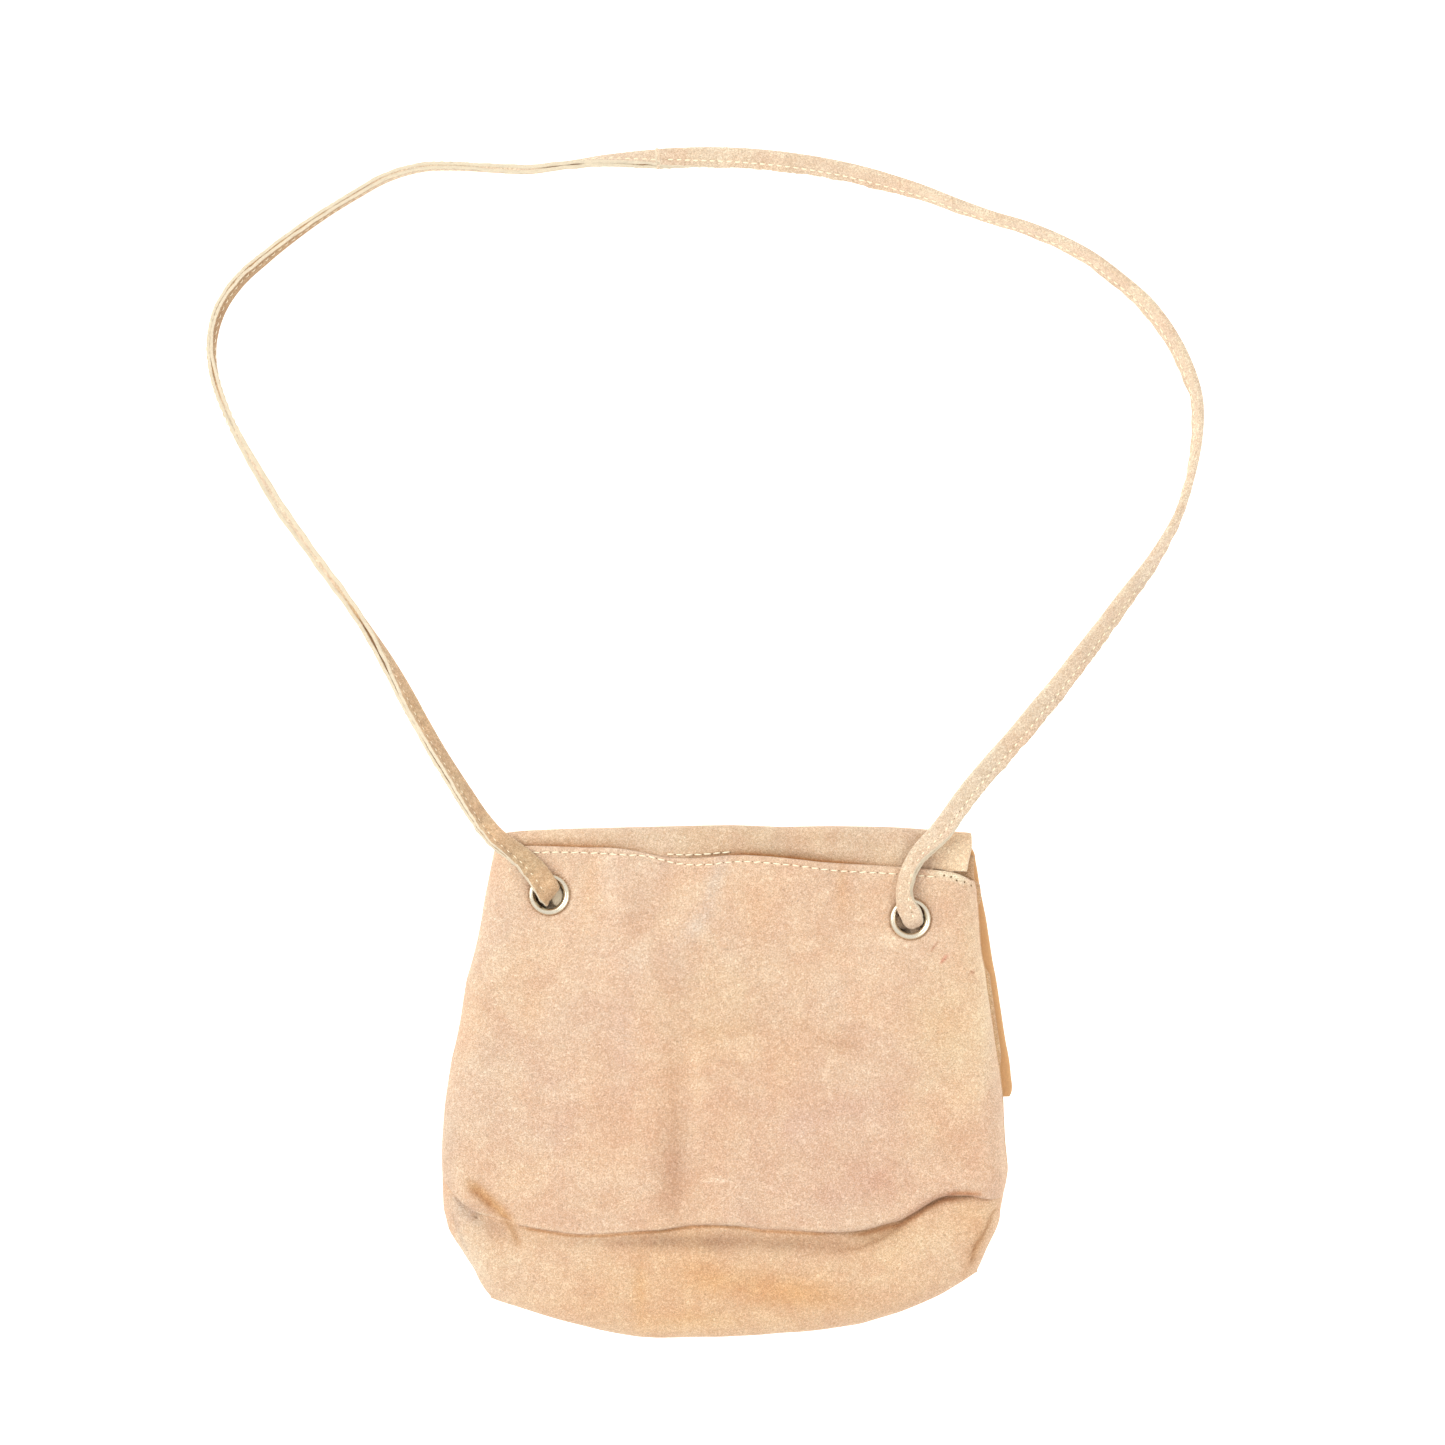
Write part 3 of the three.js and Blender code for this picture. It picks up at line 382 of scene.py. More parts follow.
# ------------------------------------------------------------------ meshes
def build(name, verts, faces, attrs=None, material=None, flat=False, sharp_pairs=None):
    me = bpy.data.meshes.new(name)
    verts = np.asarray(verts, float)
    me.from_pydata((verts * MM).tolist(), [], [list(map(int, f)) for f in faces])
    me.update()
    rest = me.attributes.new("rest", "FLOAT_VECTOR", "POINT")
    rest.data.foreach_set("vector", verts.astype(np.float32).ravel())
    for key, val in (attrs or {}).items():
        val = np.asarray(val, np.float32)
        if val.ndim == 1:
            me.attributes.new(key, "FLOAT", "POINT").data.foreach_set("value", val)
        else:
            me.attributes.new(key, "FLOAT_VECTOR", "POINT").data.foreach_set("vector", val.ravel())
    me.polygons.foreach_set("use_smooth", [not flat] * len(me.polygons))
    ob = bpy.data.objects.new(name, me)
    scene.collection.objects.link(ob)
    if material:
        me.materials.append(material)
    if sharp_pairs is not None and len(sharp_pairs):
        want = {tuple(sorted(map(int, p))) for p in sharp_pairs}
        flags = np.array([tuple(sorted(e.vertices)) in want for e in me.edges])
        me.attributes.new("sharp_edge", "BOOLEAN", "EDGE").data.foreach_set("value", flags)
    return ob


def normals_of(p):
    """Unit normals of a grid of points, from differences along it."""
    du = np.gradient(p, axis=1); dv = np.gradient(p, axis=0)
    n = np.cross(du, dv)
    l = np.linalg.norm(n, axis=2, keepdims=True)
    return n / np.where(l < 1e-12, 1, l)


def shell(name, outer, thick, material, up=True, keep=None, tint=None, raw_rim=1.0, lowest=None, bevel=0.22, plain_rows=()):
    """A closed leather sheet from its outer face, a grid of points: the inner face, and a rim with rounded raw edges
    around every border, holes included. keep says which grid cells stay."""
    ny, nx, _ = outer.shape
    n = normals_of(outer)
    flip = -1.0 if (np.sum(n[..., 2]) < 0) == up else 1.0
    n = n * flip
    inner = outer - n * thick
    if lowest is not None:
        inner[..., 2] = np.maximum(inner[..., 2], np.minimum(outer[..., 2], lowest))
    if keep is None:
        keep = np.ones((ny - 1, nx - 1), bool)
    idx = np.arange(ny * nx).reshape(ny, nx)
    cell = np.stack([idx[:-1, :-1], idx[:-1, 1:], idx[1:, 1:], idx[1:, :-1]], -1)[keep]
    # border edges of the kept cells, in face order
    e = np.concatenate([cell[:, [0, 1]], cell[:, [1, 2]], cell[:, [2, 3]], cell[:, [3, 0]]])
    key = np.sort(e, axis=1); code = key[:, 0] * (ny * nx) + key[:, 1]
    uniq, inv, cnt = np.unique(code, return_inverse=True, return_counts=True)
    border = e[cnt[inv] == 1]
    used = np.unique(cell)
    remap = -np.ones(ny * nx, int); remap[used] = np.arange(len(used))
    m = len(used)
    O = outer.reshape(-1, 3)[used].copy(); I = inner.reshape(-1, 3)[used].copy()
    rim = np.unique(border); r = remap[rim]
    mid = (O[r] + I[r]) / 2
    soft = np.ones(len(rim)); pairs = []
    for row in plain_rows:
        soft[np.isin(rim, idx[row])] = 0.0
        line = remap[idx[row]]
        pairs += [(a, b) for a, b in zip(line, line[1:])] + [(a + m, b + m) for a, b in zip(line, line[1:])]
    O[r] -= (O[r] - mid) * bevel * soft[:, None]; I[r] -= (I[r] - mid) * bevel * soft[:, None]
    rim_of = -np.ones(ny * nx, int); rim_of[rim] = np.arange(len(rim)) + 2 * m
    # push the middle of the rim out a little, away from the sheet
    out = np.zeros((ny * nx, 3))
    P = outer.reshape(-1, 3); N = n.reshape(-1, 3)
    t = P[border[:, 1]] - P[border[:, 0]]
    side = np.cross(t, N[border[:, 0]]) * flip
    l = np.linalg.norm(side, axis=1, keepdims=True); side = side / np.where(l < 1e-9, 1, l)
    np.add.at(out, border[:, 0], side); np.add.at(out, border[:, 1], side)
    ol = np.linalg.norm(out, axis=1, keepdims=True); out = out / np.where(ol < 1e-9, 1, ol)
    mid = mid + out[rim] * 0.2 * soft[:, None]
    verts = np.concatenate([O, I, mid])
    q = remap[cell]
    top = q[:, ::-1] if flip > 0 else q
    top = q if flip > 0 else q[:, ::-1]
    bot = (q[:, ::-1] if flip > 0 else q) + m
    b = border
    w1 = np.stack([remap[b[:, 1]], remap[b[:, 0]], rim_of[b[:, 0]], rim_of[b[:, 1]]], 1)
    w2 = np.stack([rim_of[b[:, 1]], rim_of[b[:, 0]], remap[b[:, 0]] + m, remap[b[:, 1]] + m], 1)
    if flip < 0:
        w1 = w1[:, ::-1]; w2 = w2[:, ::-1]
    faces = np.concatenate([top, bot, w1, w2])
    raw = np.zeros(len(verts)); raw[r] = 0.35 * raw_rim * soft; raw[r + m] = 0.35 * raw_rim * soft; raw[2 * m:] = raw_rim * soft
    attrs = {"raw": raw}
    if tint is not None:
        tt = tint.reshape(-1, 3)[used]
        attrs["tint"] = np.concatenate([tt, tt, tint.reshape(-1, 3)[rim]])
    else:
        attrs["tint"] = np.ones((len(verts), 3))
    inside = np.zeros(len(verts)); inside[m:2 * m] = 1.0; inside[2 * m:] = 0.5
    attrs["inside"] = inside
    return build(name, verts, faces, attrs, material, sharp_pairs=pairs)


def tube(name, centres, wides, thicks, section, raw_of, material, wob=None, tint=None):
    """A closed tube with a given section at each step of a path; ends are capped by flat faces."""
    n, k = len(centres), len(section)
    sec = np.array(section)
    P = centres[:, None, :] + wides[:, None, :] * sec[None, :, 0:1] + thicks[:, None, :] * sec[None, :, 1:2]
    if wob is not None:
        P = P + wob
    low = P[..., 2].min(1)
    lift = np.maximum(0.0, 0.06 - low)
    for _ in range(3):
        lift = np.maximum(lift, np.convolve(np.pad(lift, 4, mode="edge"), np.ones(9) / 9, "valid"))
    P[..., 2] += lift[:, None]
    centres[:, 2] += lift
    verts = P.reshape(-1, 3)
    faces = []
    i = np.arange(n - 1)[:, None] * k; j = np.arange(k)[None, :]; j2 = (j + 1) % k
    quads = np.stack([i + j, i + j2, i + k + j2, i + k + j], -1).reshape(-1, 4)
    faces = quads.tolist()
    faces.append(list(range(k))[::-1])
    faces.append(list(range((n - 1) * k, n * k)))
    attrs = {"raw": np.tile(raw_of, n), "tint": np.ones((n * k, 3)) if tint is None else tint, "inside": np.zeros(n * k)}
    # ends are cut leather
    attrs["raw"][:k] = 1.0; attrs["raw"][-k:] = 1.0
    cap = [(a, (a + 1) % k) for a in range(k)] + [((n - 1) * k + a, (n - 1) * k + (a + 1) % k) for a in range(k)]
    ob = build(name, verts, faces, attrs, material, sharp_pairs=cap)
    fix_outward(ob)
    return ob


def fix_outward(ob):
    """Turns a closed mesh's faces outwards."""
    me = ob.data
    v = np.array([q.co for q in me.vertices], float)
    vol = 0.0
    for f in me.polygons:
        p = v[list(f.vertices)]
        for a in range(1, len(p) - 1):
            vol += float(np.dot(p[0], np.cross(p[a], p[a + 1])))
    if vol < 0:
        me.flip_normals()


def lathe(name, profile, centre, steps, material, sharp=()):
    """A ring turned about a vertical axis: profile is a closed list of (r, z)."""
    prof = np.array(profile); k = len(prof)
    ang = np.arange(steps) * 2 * math.pi / steps
    P = np.stack([centre[0] + np.cos(ang)[:, None] * prof[None, :, 0], centre[1] + np.sin(ang)[:, None] * prof[None, :, 0],
                  np.broadcast_to(prof[None, :, 1], (steps, k))], -1)
    i = np.arange(steps)[:, None]; j = np.arange(k)[None, :]
    i2 = (i + 1) % steps; j2 = (j + 1) % k
    faces = np.stack([i * k + j, i2 * k + j, i2 * k + j2, i * k + j2], -1).reshape(-1, 4)
    pairs = [(a * k + s, ((a + 1) % steps) * k + s) for s in sharp for a in range(steps)]
    ob = build(name, P.reshape(-1, 3), faces, None, material, sharp_pairs=pairs)
    fix_outward(ob)
    return ob


# ------------------------------------------------------------------ materials
def material(name):
    m = bpy.data.materials.new(name)
    m.use_nodes = True
    nt = m.node_tree
    return m, nt, nt.nodes["Principled BSDF"]


def node(nt, kind, **set_):
    n = nt.nodes.new(kind)
    for k, v in set_.items():
        setattr(n, k, v)
    return n


def noise_node(nt, vec, scale, detail=2.0, rough=0.5, distort=0.0):
    n = node(nt, "ShaderNodeTexNoise")
    n.inputs["Scale"].default_value = scale
    n.inputs["Detail"].default_value = detail
    n.inputs["Roughness"].default_value = rough
    n.inputs["Distortion"].default_value = distort
    nt.links.new(vec, n.inputs["Vector"])
    return n.outputs["Fac"]


def remap(nt, value, a, b, c, d):
    n = node(nt, "ShaderNodeMapRange")
    for key, v in zip(("From Min", "From Max", "To Min", "To Max"), (a, b, c, d)):
        n.inputs[key].default_value = v
    nt.links.new(value, n.inputs["Value"])
    return n.outputs["Result"]


def maths(nt, op, a, b):
    n = node(nt, "ShaderNodeMath", operation=op)
    for s, v in zip(n.inputs, (a, b)):
        if isinstance(v, (int, float)):
            s.default_value = v
        else:
            nt.links.new(v, s)
    return n.outputs[0]


def mix(nt, fac, a, b, kind="MIX"):
    n = node(nt, "ShaderNodeMix", data_type="RGBA", blend_type=kind)
    for s, v in ((n.inputs[0], fac), (n.inputs[6], a), (n.inputs[7], b)):
        if isinstance(v, (int, float)):
            s.default_value = v
        elif isinstance(v, tuple):
            s.default_value = (*v, 1.0)
        else:
            nt.links.new(v, s)
    return n.outputs[2]


def scaled(nt, colour, factor):
    n = node(nt, "ShaderNodeVectorMath", operation="SCALE")
    nt.links.new(colour, n.inputs[0]); nt.links.new(factor, n.inputs["Scale"])
    return n.outputs[0]


def attribute(nt, name, out):
    n = node(nt, "ShaderNodeAttribute", attribute_name=name)
    return n.outputs[out]


def suede(name, base, warm, cool, grain=1.0, nap=0.6, cream=(0.93, 0.80, 0.585), within=(0.62, 0.42, 0.27), sheen=0.18):
    """Napped split leather: curled fibre grain, soft mottling, pale raw edges and a darker inside."""
    m, nt, bsdf = material(name)
    rest = attribute(nt, "rest", "Vector")
    # curled fibres: thin light lines winding over a darker ground
    lay = noise_node(nt, rest, 0.66, 1.0, 0.5, 1.4)
    curl = remap(nt, maths(nt, "ABSOLUTE", maths(nt, "SUBTRACT", lay, 0.5), 0.0), 0.010, 0.075, 1.0, 0.0)
    lay2 = noise_node(nt, rest, 1.05, 1.0, 0.5, 1.1)
    curl2 = remap(nt, maths(nt, "ABSOLUTE", maths(nt, "SUBTRACT", lay2, 0.5), 0.0), 0.010, 0.080, 1.0, 0.0)
    fine = noise_node(nt, rest, 1.9, 2.0, 0.6, 0.6)
    pits = noise_node(nt, rest, 1.15, 1.0, 0.5, 0.8)
    cloud = noise_node(nt, rest, 0.085, 3.0, 0.55, 0.5)
    hue = noise_node(nt, rest, 0.028, 2.0, 0.5, 0.3)
    patch = noise_node(nt, rest, 0.22, 3.0, 0.6, 1.0)
    fibre = maths(nt, "ADD", maths(nt, "MULTIPLY", curl, 0.55), maths(nt, "MULTIPLY", curl2, 0.45))
    c = mix(nt, remap(nt, hue, 0.36, 0.64, 0.0, 1.0), warm, cool)
    c = mix(nt, 0.5, base, c)
    # the ground between the fibres is browner than they are
    ground = node(nt, "ShaderNodeVectorMath", operation="MULTIPLY")
    nt.links.new(c, ground.inputs[0]); ground.inputs[1].default_value = (1 - 0.22 * grain, 1 - 0.30 * grain, 1 - 0.37 * grain)
    lit = node(nt, "ShaderNodeVectorMath", operation="MULTIPLY")
    nt.links.new(c, lit.inputs[0]); lit.inputs[1].default_value = (1 + 0.15 * grain, 1 + 0.20 * grain, 1 + 0.24 * grain)
    c = mix(nt, fibre, ground.outputs[0], lit.outputs[0])
    c = scaled(nt, c, remap(nt, fine, 0.30, 0.70, 1.0 - 0.17 * grain, 1.0 + 0.17 * grain))
    c = scaled(nt, c, remap(nt, pits, 0.60, 0.74, 1.0, 1.0 - 0.19 * grain))
    stain = node(nt, "ShaderNodeVectorMath", operation="MULTIPLY")
    nt.links.new(c, stain.inputs[0])
    nt.links.new(mix(nt, remap(nt, cloud, 0.36, 0.64, 0.0, 1.0), (0.965, 0.930, 0.925), (1.03, 1.06, 1.065)), stain.inputs[1])
    c = scaled(nt, stain.outputs[0], remap(nt, patch, 0.30, 0.70, 0.975, 1.025))
    tint = node(nt, "ShaderNodeVectorMath", operation="MULTIPLY")
    nt.links.new(c, tint.inputs[0]); nt.links.new(attribute(nt, "tint", "Vector"), tint.inputs[1])
    c = tint.outputs[0]
    inside = attribute(nt, "inside", "Fac")
    c = mix(nt, maths(nt, "MULTIPLY", inside, 0.8), c, within)
    raw = attribute(nt, "raw", "Fac")
    fray = remap(nt, fine, 0.35, 0.65, -0.12, 0.12)
    rawness = remap(nt, maths(nt, "ADD", raw, fray), 0.30, 0.62, 0.0, 1.0)
    creamy = scaled(nt, mix(nt, 1.0, cream, cream), remap(nt, fine, 0.3, 0.7, 0.90, 1.06))
    c = mix(nt, rawness, c, creamy)
    nt.links.new(c, bsdf.inputs["Base Color"])
    bsdf.inputs["Roughness"].default_value = 0.93
    bsdf.inputs["Specular IOR Level"].default_value = 0.18
    bsdf.inputs["Sheen Weight"].default_value = sheen
    bsdf.inputs["Sheen Roughness"].default_value = 0.55
    bsdf.inputs["Sheen Tint"].default_value = (1.0, 0.93, 0.84, 1)
    height = maths(nt, "ADD", maths(nt, "MULTIPLY", fibre, 0.6), maths(nt, "MULTIPLY", fine, 0.7))
    bump = node(nt, "ShaderNodeBump")
    bump.inputs["Strength"].default_value = nap
    bump.inputs["Distance"].default_value = 0.0004
    nt.links.new(height, bump.inputs["Height"])
    nt.links.new(bump.outputs["Normal"], bsdf.inputs["Normal"])
    return m


def plain(name, colour, rough, metal=0.0, vary=0.06, scale=0.8, bump_mm=0.02, sheen=0.0):
    m, nt, bsdf = material(name)
    rest = attribute(nt, "rest", "Vector")
    f = noise_node(nt, rest, scale, 3.0, 0.6, 0.4)
    c = scaled(nt, mix(nt, 1.0, colour, colour), remap(nt, f, 0.3, 0.7, 1 - vary, 1 + vary))
    nt.links.new(c, bsdf.inputs["Base Color"])
    nt.links.new(remap(nt, f, 0.3, 0.7, rough * 0.85, rough * 1.15), bsdf.inputs["Roughness"])
    bsdf.inputs["Metallic"].default_value = metal
    bsdf.inputs["Sheen Weight"].default_value = sheen
    bump = node(nt, "ShaderNodeBump")
    bump.inputs["Strength"].default_value = 0.5
    bump.inputs["Distance"].default_value = bump_mm * MM
    nt.links.new(f, bump.inputs["Height"])
    nt.links.new(bump.outputs["Normal"], bsdf.inputs["Normal"])
    return m


suede_mat = suede("suede", (0.706, 0.514, 0.372), (0.721, 0.502, 0.342), (0.691, 0.525, 0.400))
# the flap's inside face, which shows beside the bag, is darker and more orange: partly the reverse side's own colour,
# partly painted shade
flap_mat = suede("suede_flap", (0.705, 0.49, 0.335), (0.72, 0.478, 0.305), (0.69, 0.50, 0.36), within=(0.660, 0.385, 0.185))
strap_mat = suede("strap_suede", (0.742, 0.600, 0.450), (0.752, 0.585, 0.418), (0.722, 0.605, 0.478), grain=1.0, cream=(0.692, 0.602, 0.452))
nickel_mat = plain("nickel", (0.78, 0.71, 0.57), 0.29, metal=1.0, vary=0.03, scale=0.9, bump_mm=0.006)
thread_mat = plain("thread", (0.90, 0.81, 0.60), 0.75, vary=0.08, scale=3.0, bump_mm=0.05, sheen=0.2)
# the needle holes' dark colour is painted shade in the holes
hole_mat = plain("needle_hole", (0.38, 0.26, 0.15), 0.95, vary=0.15, scale=2.0)
hem_row = curve(HEM_ROW, 0, 1.2)


def strip_shade(grid, sink):
    """The flap's strip is a little soiled in patches, with a brown band of painted shadow in the crack under the hem
    where the hem stands off it, and painted light past the strap where the strap's shadow falls.
    """
    x, y = grid[..., 0], grid[..., 1]
    g = waves(77, 12, 40, 24)(x, y)
    d = np.maximum(y - top_at(x), 0)
    open_ = clamp(sink(x, 0 * x) / 0.9, 0, 1) * (grid[..., 2] > 8) * (1 - 0.7 * smooth(76, 82, x))
    # painted shadow under the hem: a dark core in the crack and a softer skirt above it, where the hem stands off the
    # strip
    crack = open_ * np.exp(-(d / 0.75) ** 2); skirt = open_ * np.exp(-(d / 2.5) ** 2)
    shade = 1.0 + 0.025 * g[..., None] * np.array((0.8, 1.0, 1.2))
    shade = shade * (1 - crack[..., None] * np.array((0.12, 0.36, 0.56))) * (1 - skirt[..., None] * np.array((0.13, 0.25, 0.38)))
    # a little darker around the middle and lighter to the left; the far end, past the strap, is painted lighter,
    # painted light over the strap's shadow
    shade = shade * (1 - 0.065 * np.exp(-((x - 2) / 22.0) ** 2) + 0.03 * smooth(-30, -50, x))[..., None]
    return shade * (1 + smooth(79, 84, x)[..., None] * np.array((0.24, 0.32, 0.34)))


# ------------------------------------------------------------------ strap
STRAP_W, STRAP_T = 8.6, 3.1


def strap_frames(route, start_out, end_out, step):
    r = np.array(route, float); n = len(r)
    p = r[:, :3]
    out = np.zeros((n, 3))
    for i in range(n):
        a, b = p[max(0, i - 1)], p[min(n - 1, i + 1)]
        t = b - a
        out[i] = (t[1], -t[0], 0)
        if start_out is not None and i < 3: out[i] = start_out
        if end_out is not None and i > n - 4: out[i] = end_out
        out[i] /= np.linalg.norm(out[i])
    ang = np.radians(r[:, 3])
    # centripetal-like spline: dense uniform Catmull-Rom, then even steps
    dense = []; D = []
    ext = np.vstack([2 * p[0] - p[1], p, 2 * p[-1] - p[-2]])
    eo = np.vstack([out[0], out, out[-1]]); ea = np.concatenate([[ang[0]], ang, [ang[-1]]])
    for i in range(1, n):
        for u in np.linspace(0, 1, 24, endpoint=False):
            q = [ext[i - 1], ext[i], ext[i + 1], ext[i + 2]]
            c = 0.5 * ((2 * q[1]) + (-q[0] + q[2]) * u + (2 * q[0] - 5 * q[1] + 4 * q[2] - q[3]) * u * u + (-q[0] + 3 * q[1] - 3 * q[2] + q[3]) * u ** 3)
            dense.append(c); D.append((*(eo[i] * (1 - u) + eo[i + 1] * u), ea[i] * (1 - u) + ea[i + 1] * u))
    dense.append(p[-1]); D.append((*out[-1], ang[-1]))
    dense = np.array(dense); D = np.array(D)
    s = np.concatenate([[0], np.cumsum(np.linalg.norm(np.diff(dense, axis=0), axis=1))])
    m = max(8, int(round(s[-1] / step)))
    q = np.linspace(0, s[-1], m + 1)
    C = np.stack([np.interp(q, s, dense[:, k]) for k in range(3)], 1)
    O = np.stack([np.interp(q, s, D[:, k]) for k in range(3)], 1)
    A = np.interp(q, s, D[:, 3])
    # soften the turn along about 12 mm
    w = np.exp(-0.5 * (np.arange(-24, 25) * step / 6.0) ** 2); w /= w.sum()
    A = np.convolve(np.concatenate([np.full(24, A[0]), A, np.full(24, A[-1])]), w, "valid")
    T = np.gradient(C, axis=0); T /= np.linalg.norm(T, axis=1, keepdims=True)
    O /= np.linalg.norm(O, axis=1, keepdims=True)
    Wd = O * np.cos(A)[:, None] + np.array([0, 0, -1.0]) * np.sin(A)[:, None]
    Wd -= T * np.sum(Wd * T, axis=1, keepdims=True)
    Wd /= np.linalg.norm(Wd, axis=1, keepdims=True)
    Th = np.cross(T, Wd)
    return C, Wd, Th, T, q


def strap_section(line=1.5):
    pts = []
    c = -STRAP_W / 2 + 1.45
    for a in np.linspace(180, 92, 7):
        pts.append((c + 1.45 * math.cos(math.radians(a)), 1.45 * math.sin(math.radians(a)), 0.0))
    e = line - 1.5
    pts += [(-1.9, 1.53, 0), (-0.8, 1.56, 0), (0.3 + e * 0.8, 1.52, 0), (1.05 + e, 1.40, 0), (1.5 + e, 1.26, 0), (1.95 + e, 1.40, 0), (2.7 + e * 0.6, 1.60, 0),
            (3.5, 1.70, 0),
            (4.02, 1.72, 0.0), (4.2, 1.62, 0.75), (4.3, 1.35, 1), (4.33, 0.85, 1), (4.30, 0.36, 1), (4.20, 0.16, 0.8), (3.9, 0.08, 0.3), (3.0, 0.04, 0)]
    low = [(x, -y, r) for x, y, r in pts[::-1]]
    return pts + low[:-1]


SECTIONS = {"strap_right": strap_section(1.5), "strap_left": strap_section(2.0)}


def strap_length(name, route, start_out, end_out, seed, body_material):
    step = 1.2
    C, Wd, Th, T, q = strap_frames(route, start_out, end_out, step)
    section = SECTIONS[name]
    sec = np.array([(a, b) for a, b, _ in section]); raw = np.array([r for _, _, r in section])
    n, k = len(C), len(sec)
    f = waves(seed, 5, 24, 20); g = waves(seed + 1, 1.6, 5, 24)
    along = q[:, None]; where = sec[None, :, 0] * 3.0 + sec[None, :, 1] * 9.0
    # the cut edge is a little uneven, and the two layers part and close along it
    shift = (f(along, where * 0) * 0.13 + g(along, where) * 0.07) * (sec[None, :, 0] > 3.0) + g(along, where) * 0.035
    open_ = (0.10 + 0.16 * f(along * 0.7 + 40, where * 0)) * clamp((sec[None, :, 0] - 2.4) / 1.9, 0, 1) * np.sign(sec[None, :, 1])
    wob = Wd[:, None, :] * shift[..., None] + Th[:, None, :] * open_[..., None]
    slit = (sec[:, 0] > 2.9) & (np.abs(sec[:, 1]) < 0.4)
    shut = smooth(178, 192, C[:, 1]) * smooth(-60, -85, C[:, 0]) * (name == "strap_left")
    # round the top corner and down the stretch on edge the layers lie shut against each other
    wob = wob + Wd[:, None, :] * (shut[:, None] * slit[None, :] * (4.16 - sec[None, :, 0]) * 0.85)[..., None]
    if name == "strap_right":
        # it is drawn in narrower between the hem and its eyelet
        drawn = 0.24 * smooth(12.0, 20.0, q) * (1 - smooth(30.0, 46.0, q)) + 0.07 * smooth(280, 330, q)
        wob = wob - Wd[:, None, :] * (drawn[:, None] * (sec[None, :, 0] + 3.6 * (q < 100)[:, None]))[..., None]
        # where it turns down through its eyelet the strap is cupped, so that its end looks like a tongue
        cup = 2.7 * (1 - smooth(6.0, 15.0, q))
        wob = wob + np.array([0.06, 1.0, 0.0]) * (cup[:, None] * (sec[None, :, 0] / 4.3) ** 2)[..., None]
    if name == "strap_left":
        # the layers spread apart along the stretch that stands on edge
        spread = 0.48 * smooth(252, 236, C[:, 1]) * smooth(176, 200, C[:, 1])
        wob = wob + Th[:, None, :] * (spread[:, None] * np.sign(sec[None, :, 1]) * clamp((sec[None, :, 0] - 1.5) / 2.5, 0, 1))[..., None]
        wob = wob - Wd[:, None, :] * (0.07 * (1 - smooth(40, 80, q))[:, None] * sec[None, :, 0])[..., None]
        # pressed thinner round the top corner, and flattened out wider where it comes down over the hem
        thin = 0.16 * smooth(-78, -100, C[:, 0]) * smooth(252, 266, C[:, 1])
        wob = wob - Th[:, None, :] * (thin[:, None] * sec[None, :, 1])[..., None]
        left_ = q[-1] - q
        wide = 0.13 * smooth(5.0, 10.0, left_) * (1 - smooth(18.0, 25.0, left_)) - 0.05 * smooth(26.0, 32.0, left_) * (1 - smooth(48.0, 62.0, left_))
        wob = wob + Wd[:, None, :] * (wide[:, None] * sec[None, :, 0])[..., None]
    t = np.ones((n, k, 3)); soil = clamp(0.5 + 0.5 * f(along * 0.35 + 11, where * 0), 0, 1)
    t *= (1 - 0.05 * soil)[..., None]
    # the slit between the layers is painted dark, painted shade in the gap; the folded edge rubbed pale
    t[:, slit] *= np.array((0.80, 0.73, 0.66))
    t[:, sec[:, 0] < -3.6] *= np.array((1.06, 1.09, 1.10))
    if name == "strap_right":
        # a line of painted shade beside the raw edge where the strap crosses the hem
        line_ = (sec[:, 1] > 1.5) * np.exp(-((sec[:, 0] - 3.55) / 0.45) ** 2)
        near_ = smooth(10, 16, q) * (1 - smooth(46, 62, q))
        t *= 1 - near_[:, None, None] * line_[None, :, None] * np.array((0.30, 0.36, 0.42))
    if name == "strap_left":
        # the stretches that show the strap's inner face are painted browner: on the wide stretch above its eyelet as
        # painted shade where the face tilts away from the light, round the top corner simply darker
        low = smooth(205, 186, C[:, 1]); high = smooth(-118, -172, C[:, 0]) * smooth(262, 285, C[:, 1])
        brown = np.clip(low[:, None] * (1 - np.array((0.80, 0.70, 0.57))) + high[:, None] * (1 - np.array((0.64, 0.52, 0.38))), 0, 0.65)
        t *= 1 - brown[:, None, :]
        # round the top corner and down the stretch on edge the layers lie shut, and the slit's painted shade is lifted
        # to only a faint line
        t[:, slit] *= 1 + shut[:, None, None] * np.array((0.34, 0.50, 0.66))
        # beside the edge the sewn groove of the inner face is painted dark, painted shade in the groove
        corner = smooth(-92, -112, C[:, 0]) * smooth(246, 262, C[:, 1])
        groove = (sec[:, 1] > 0.6) * np.exp(-((sec[:, 0] - 2.5) / 1.0) ** 2)
        t *= 1 - corner[:, None, None] * groove[None, :, None] * np.array((0.30, 0.38, 0.46))
        blot = f(along * 1.5 + 70, where * 0) * 0.5 + g(along * 0.6, where * 0.3 + 5) * 0.5
        t *= 1 + (0.10 * blot * low[:, None])[..., None]
    ob = tube(name, C, Wd, Th, sec, raw, body_material, wob, t.reshape(-1, 3))
    return ob, C, Wd, Th, T, q


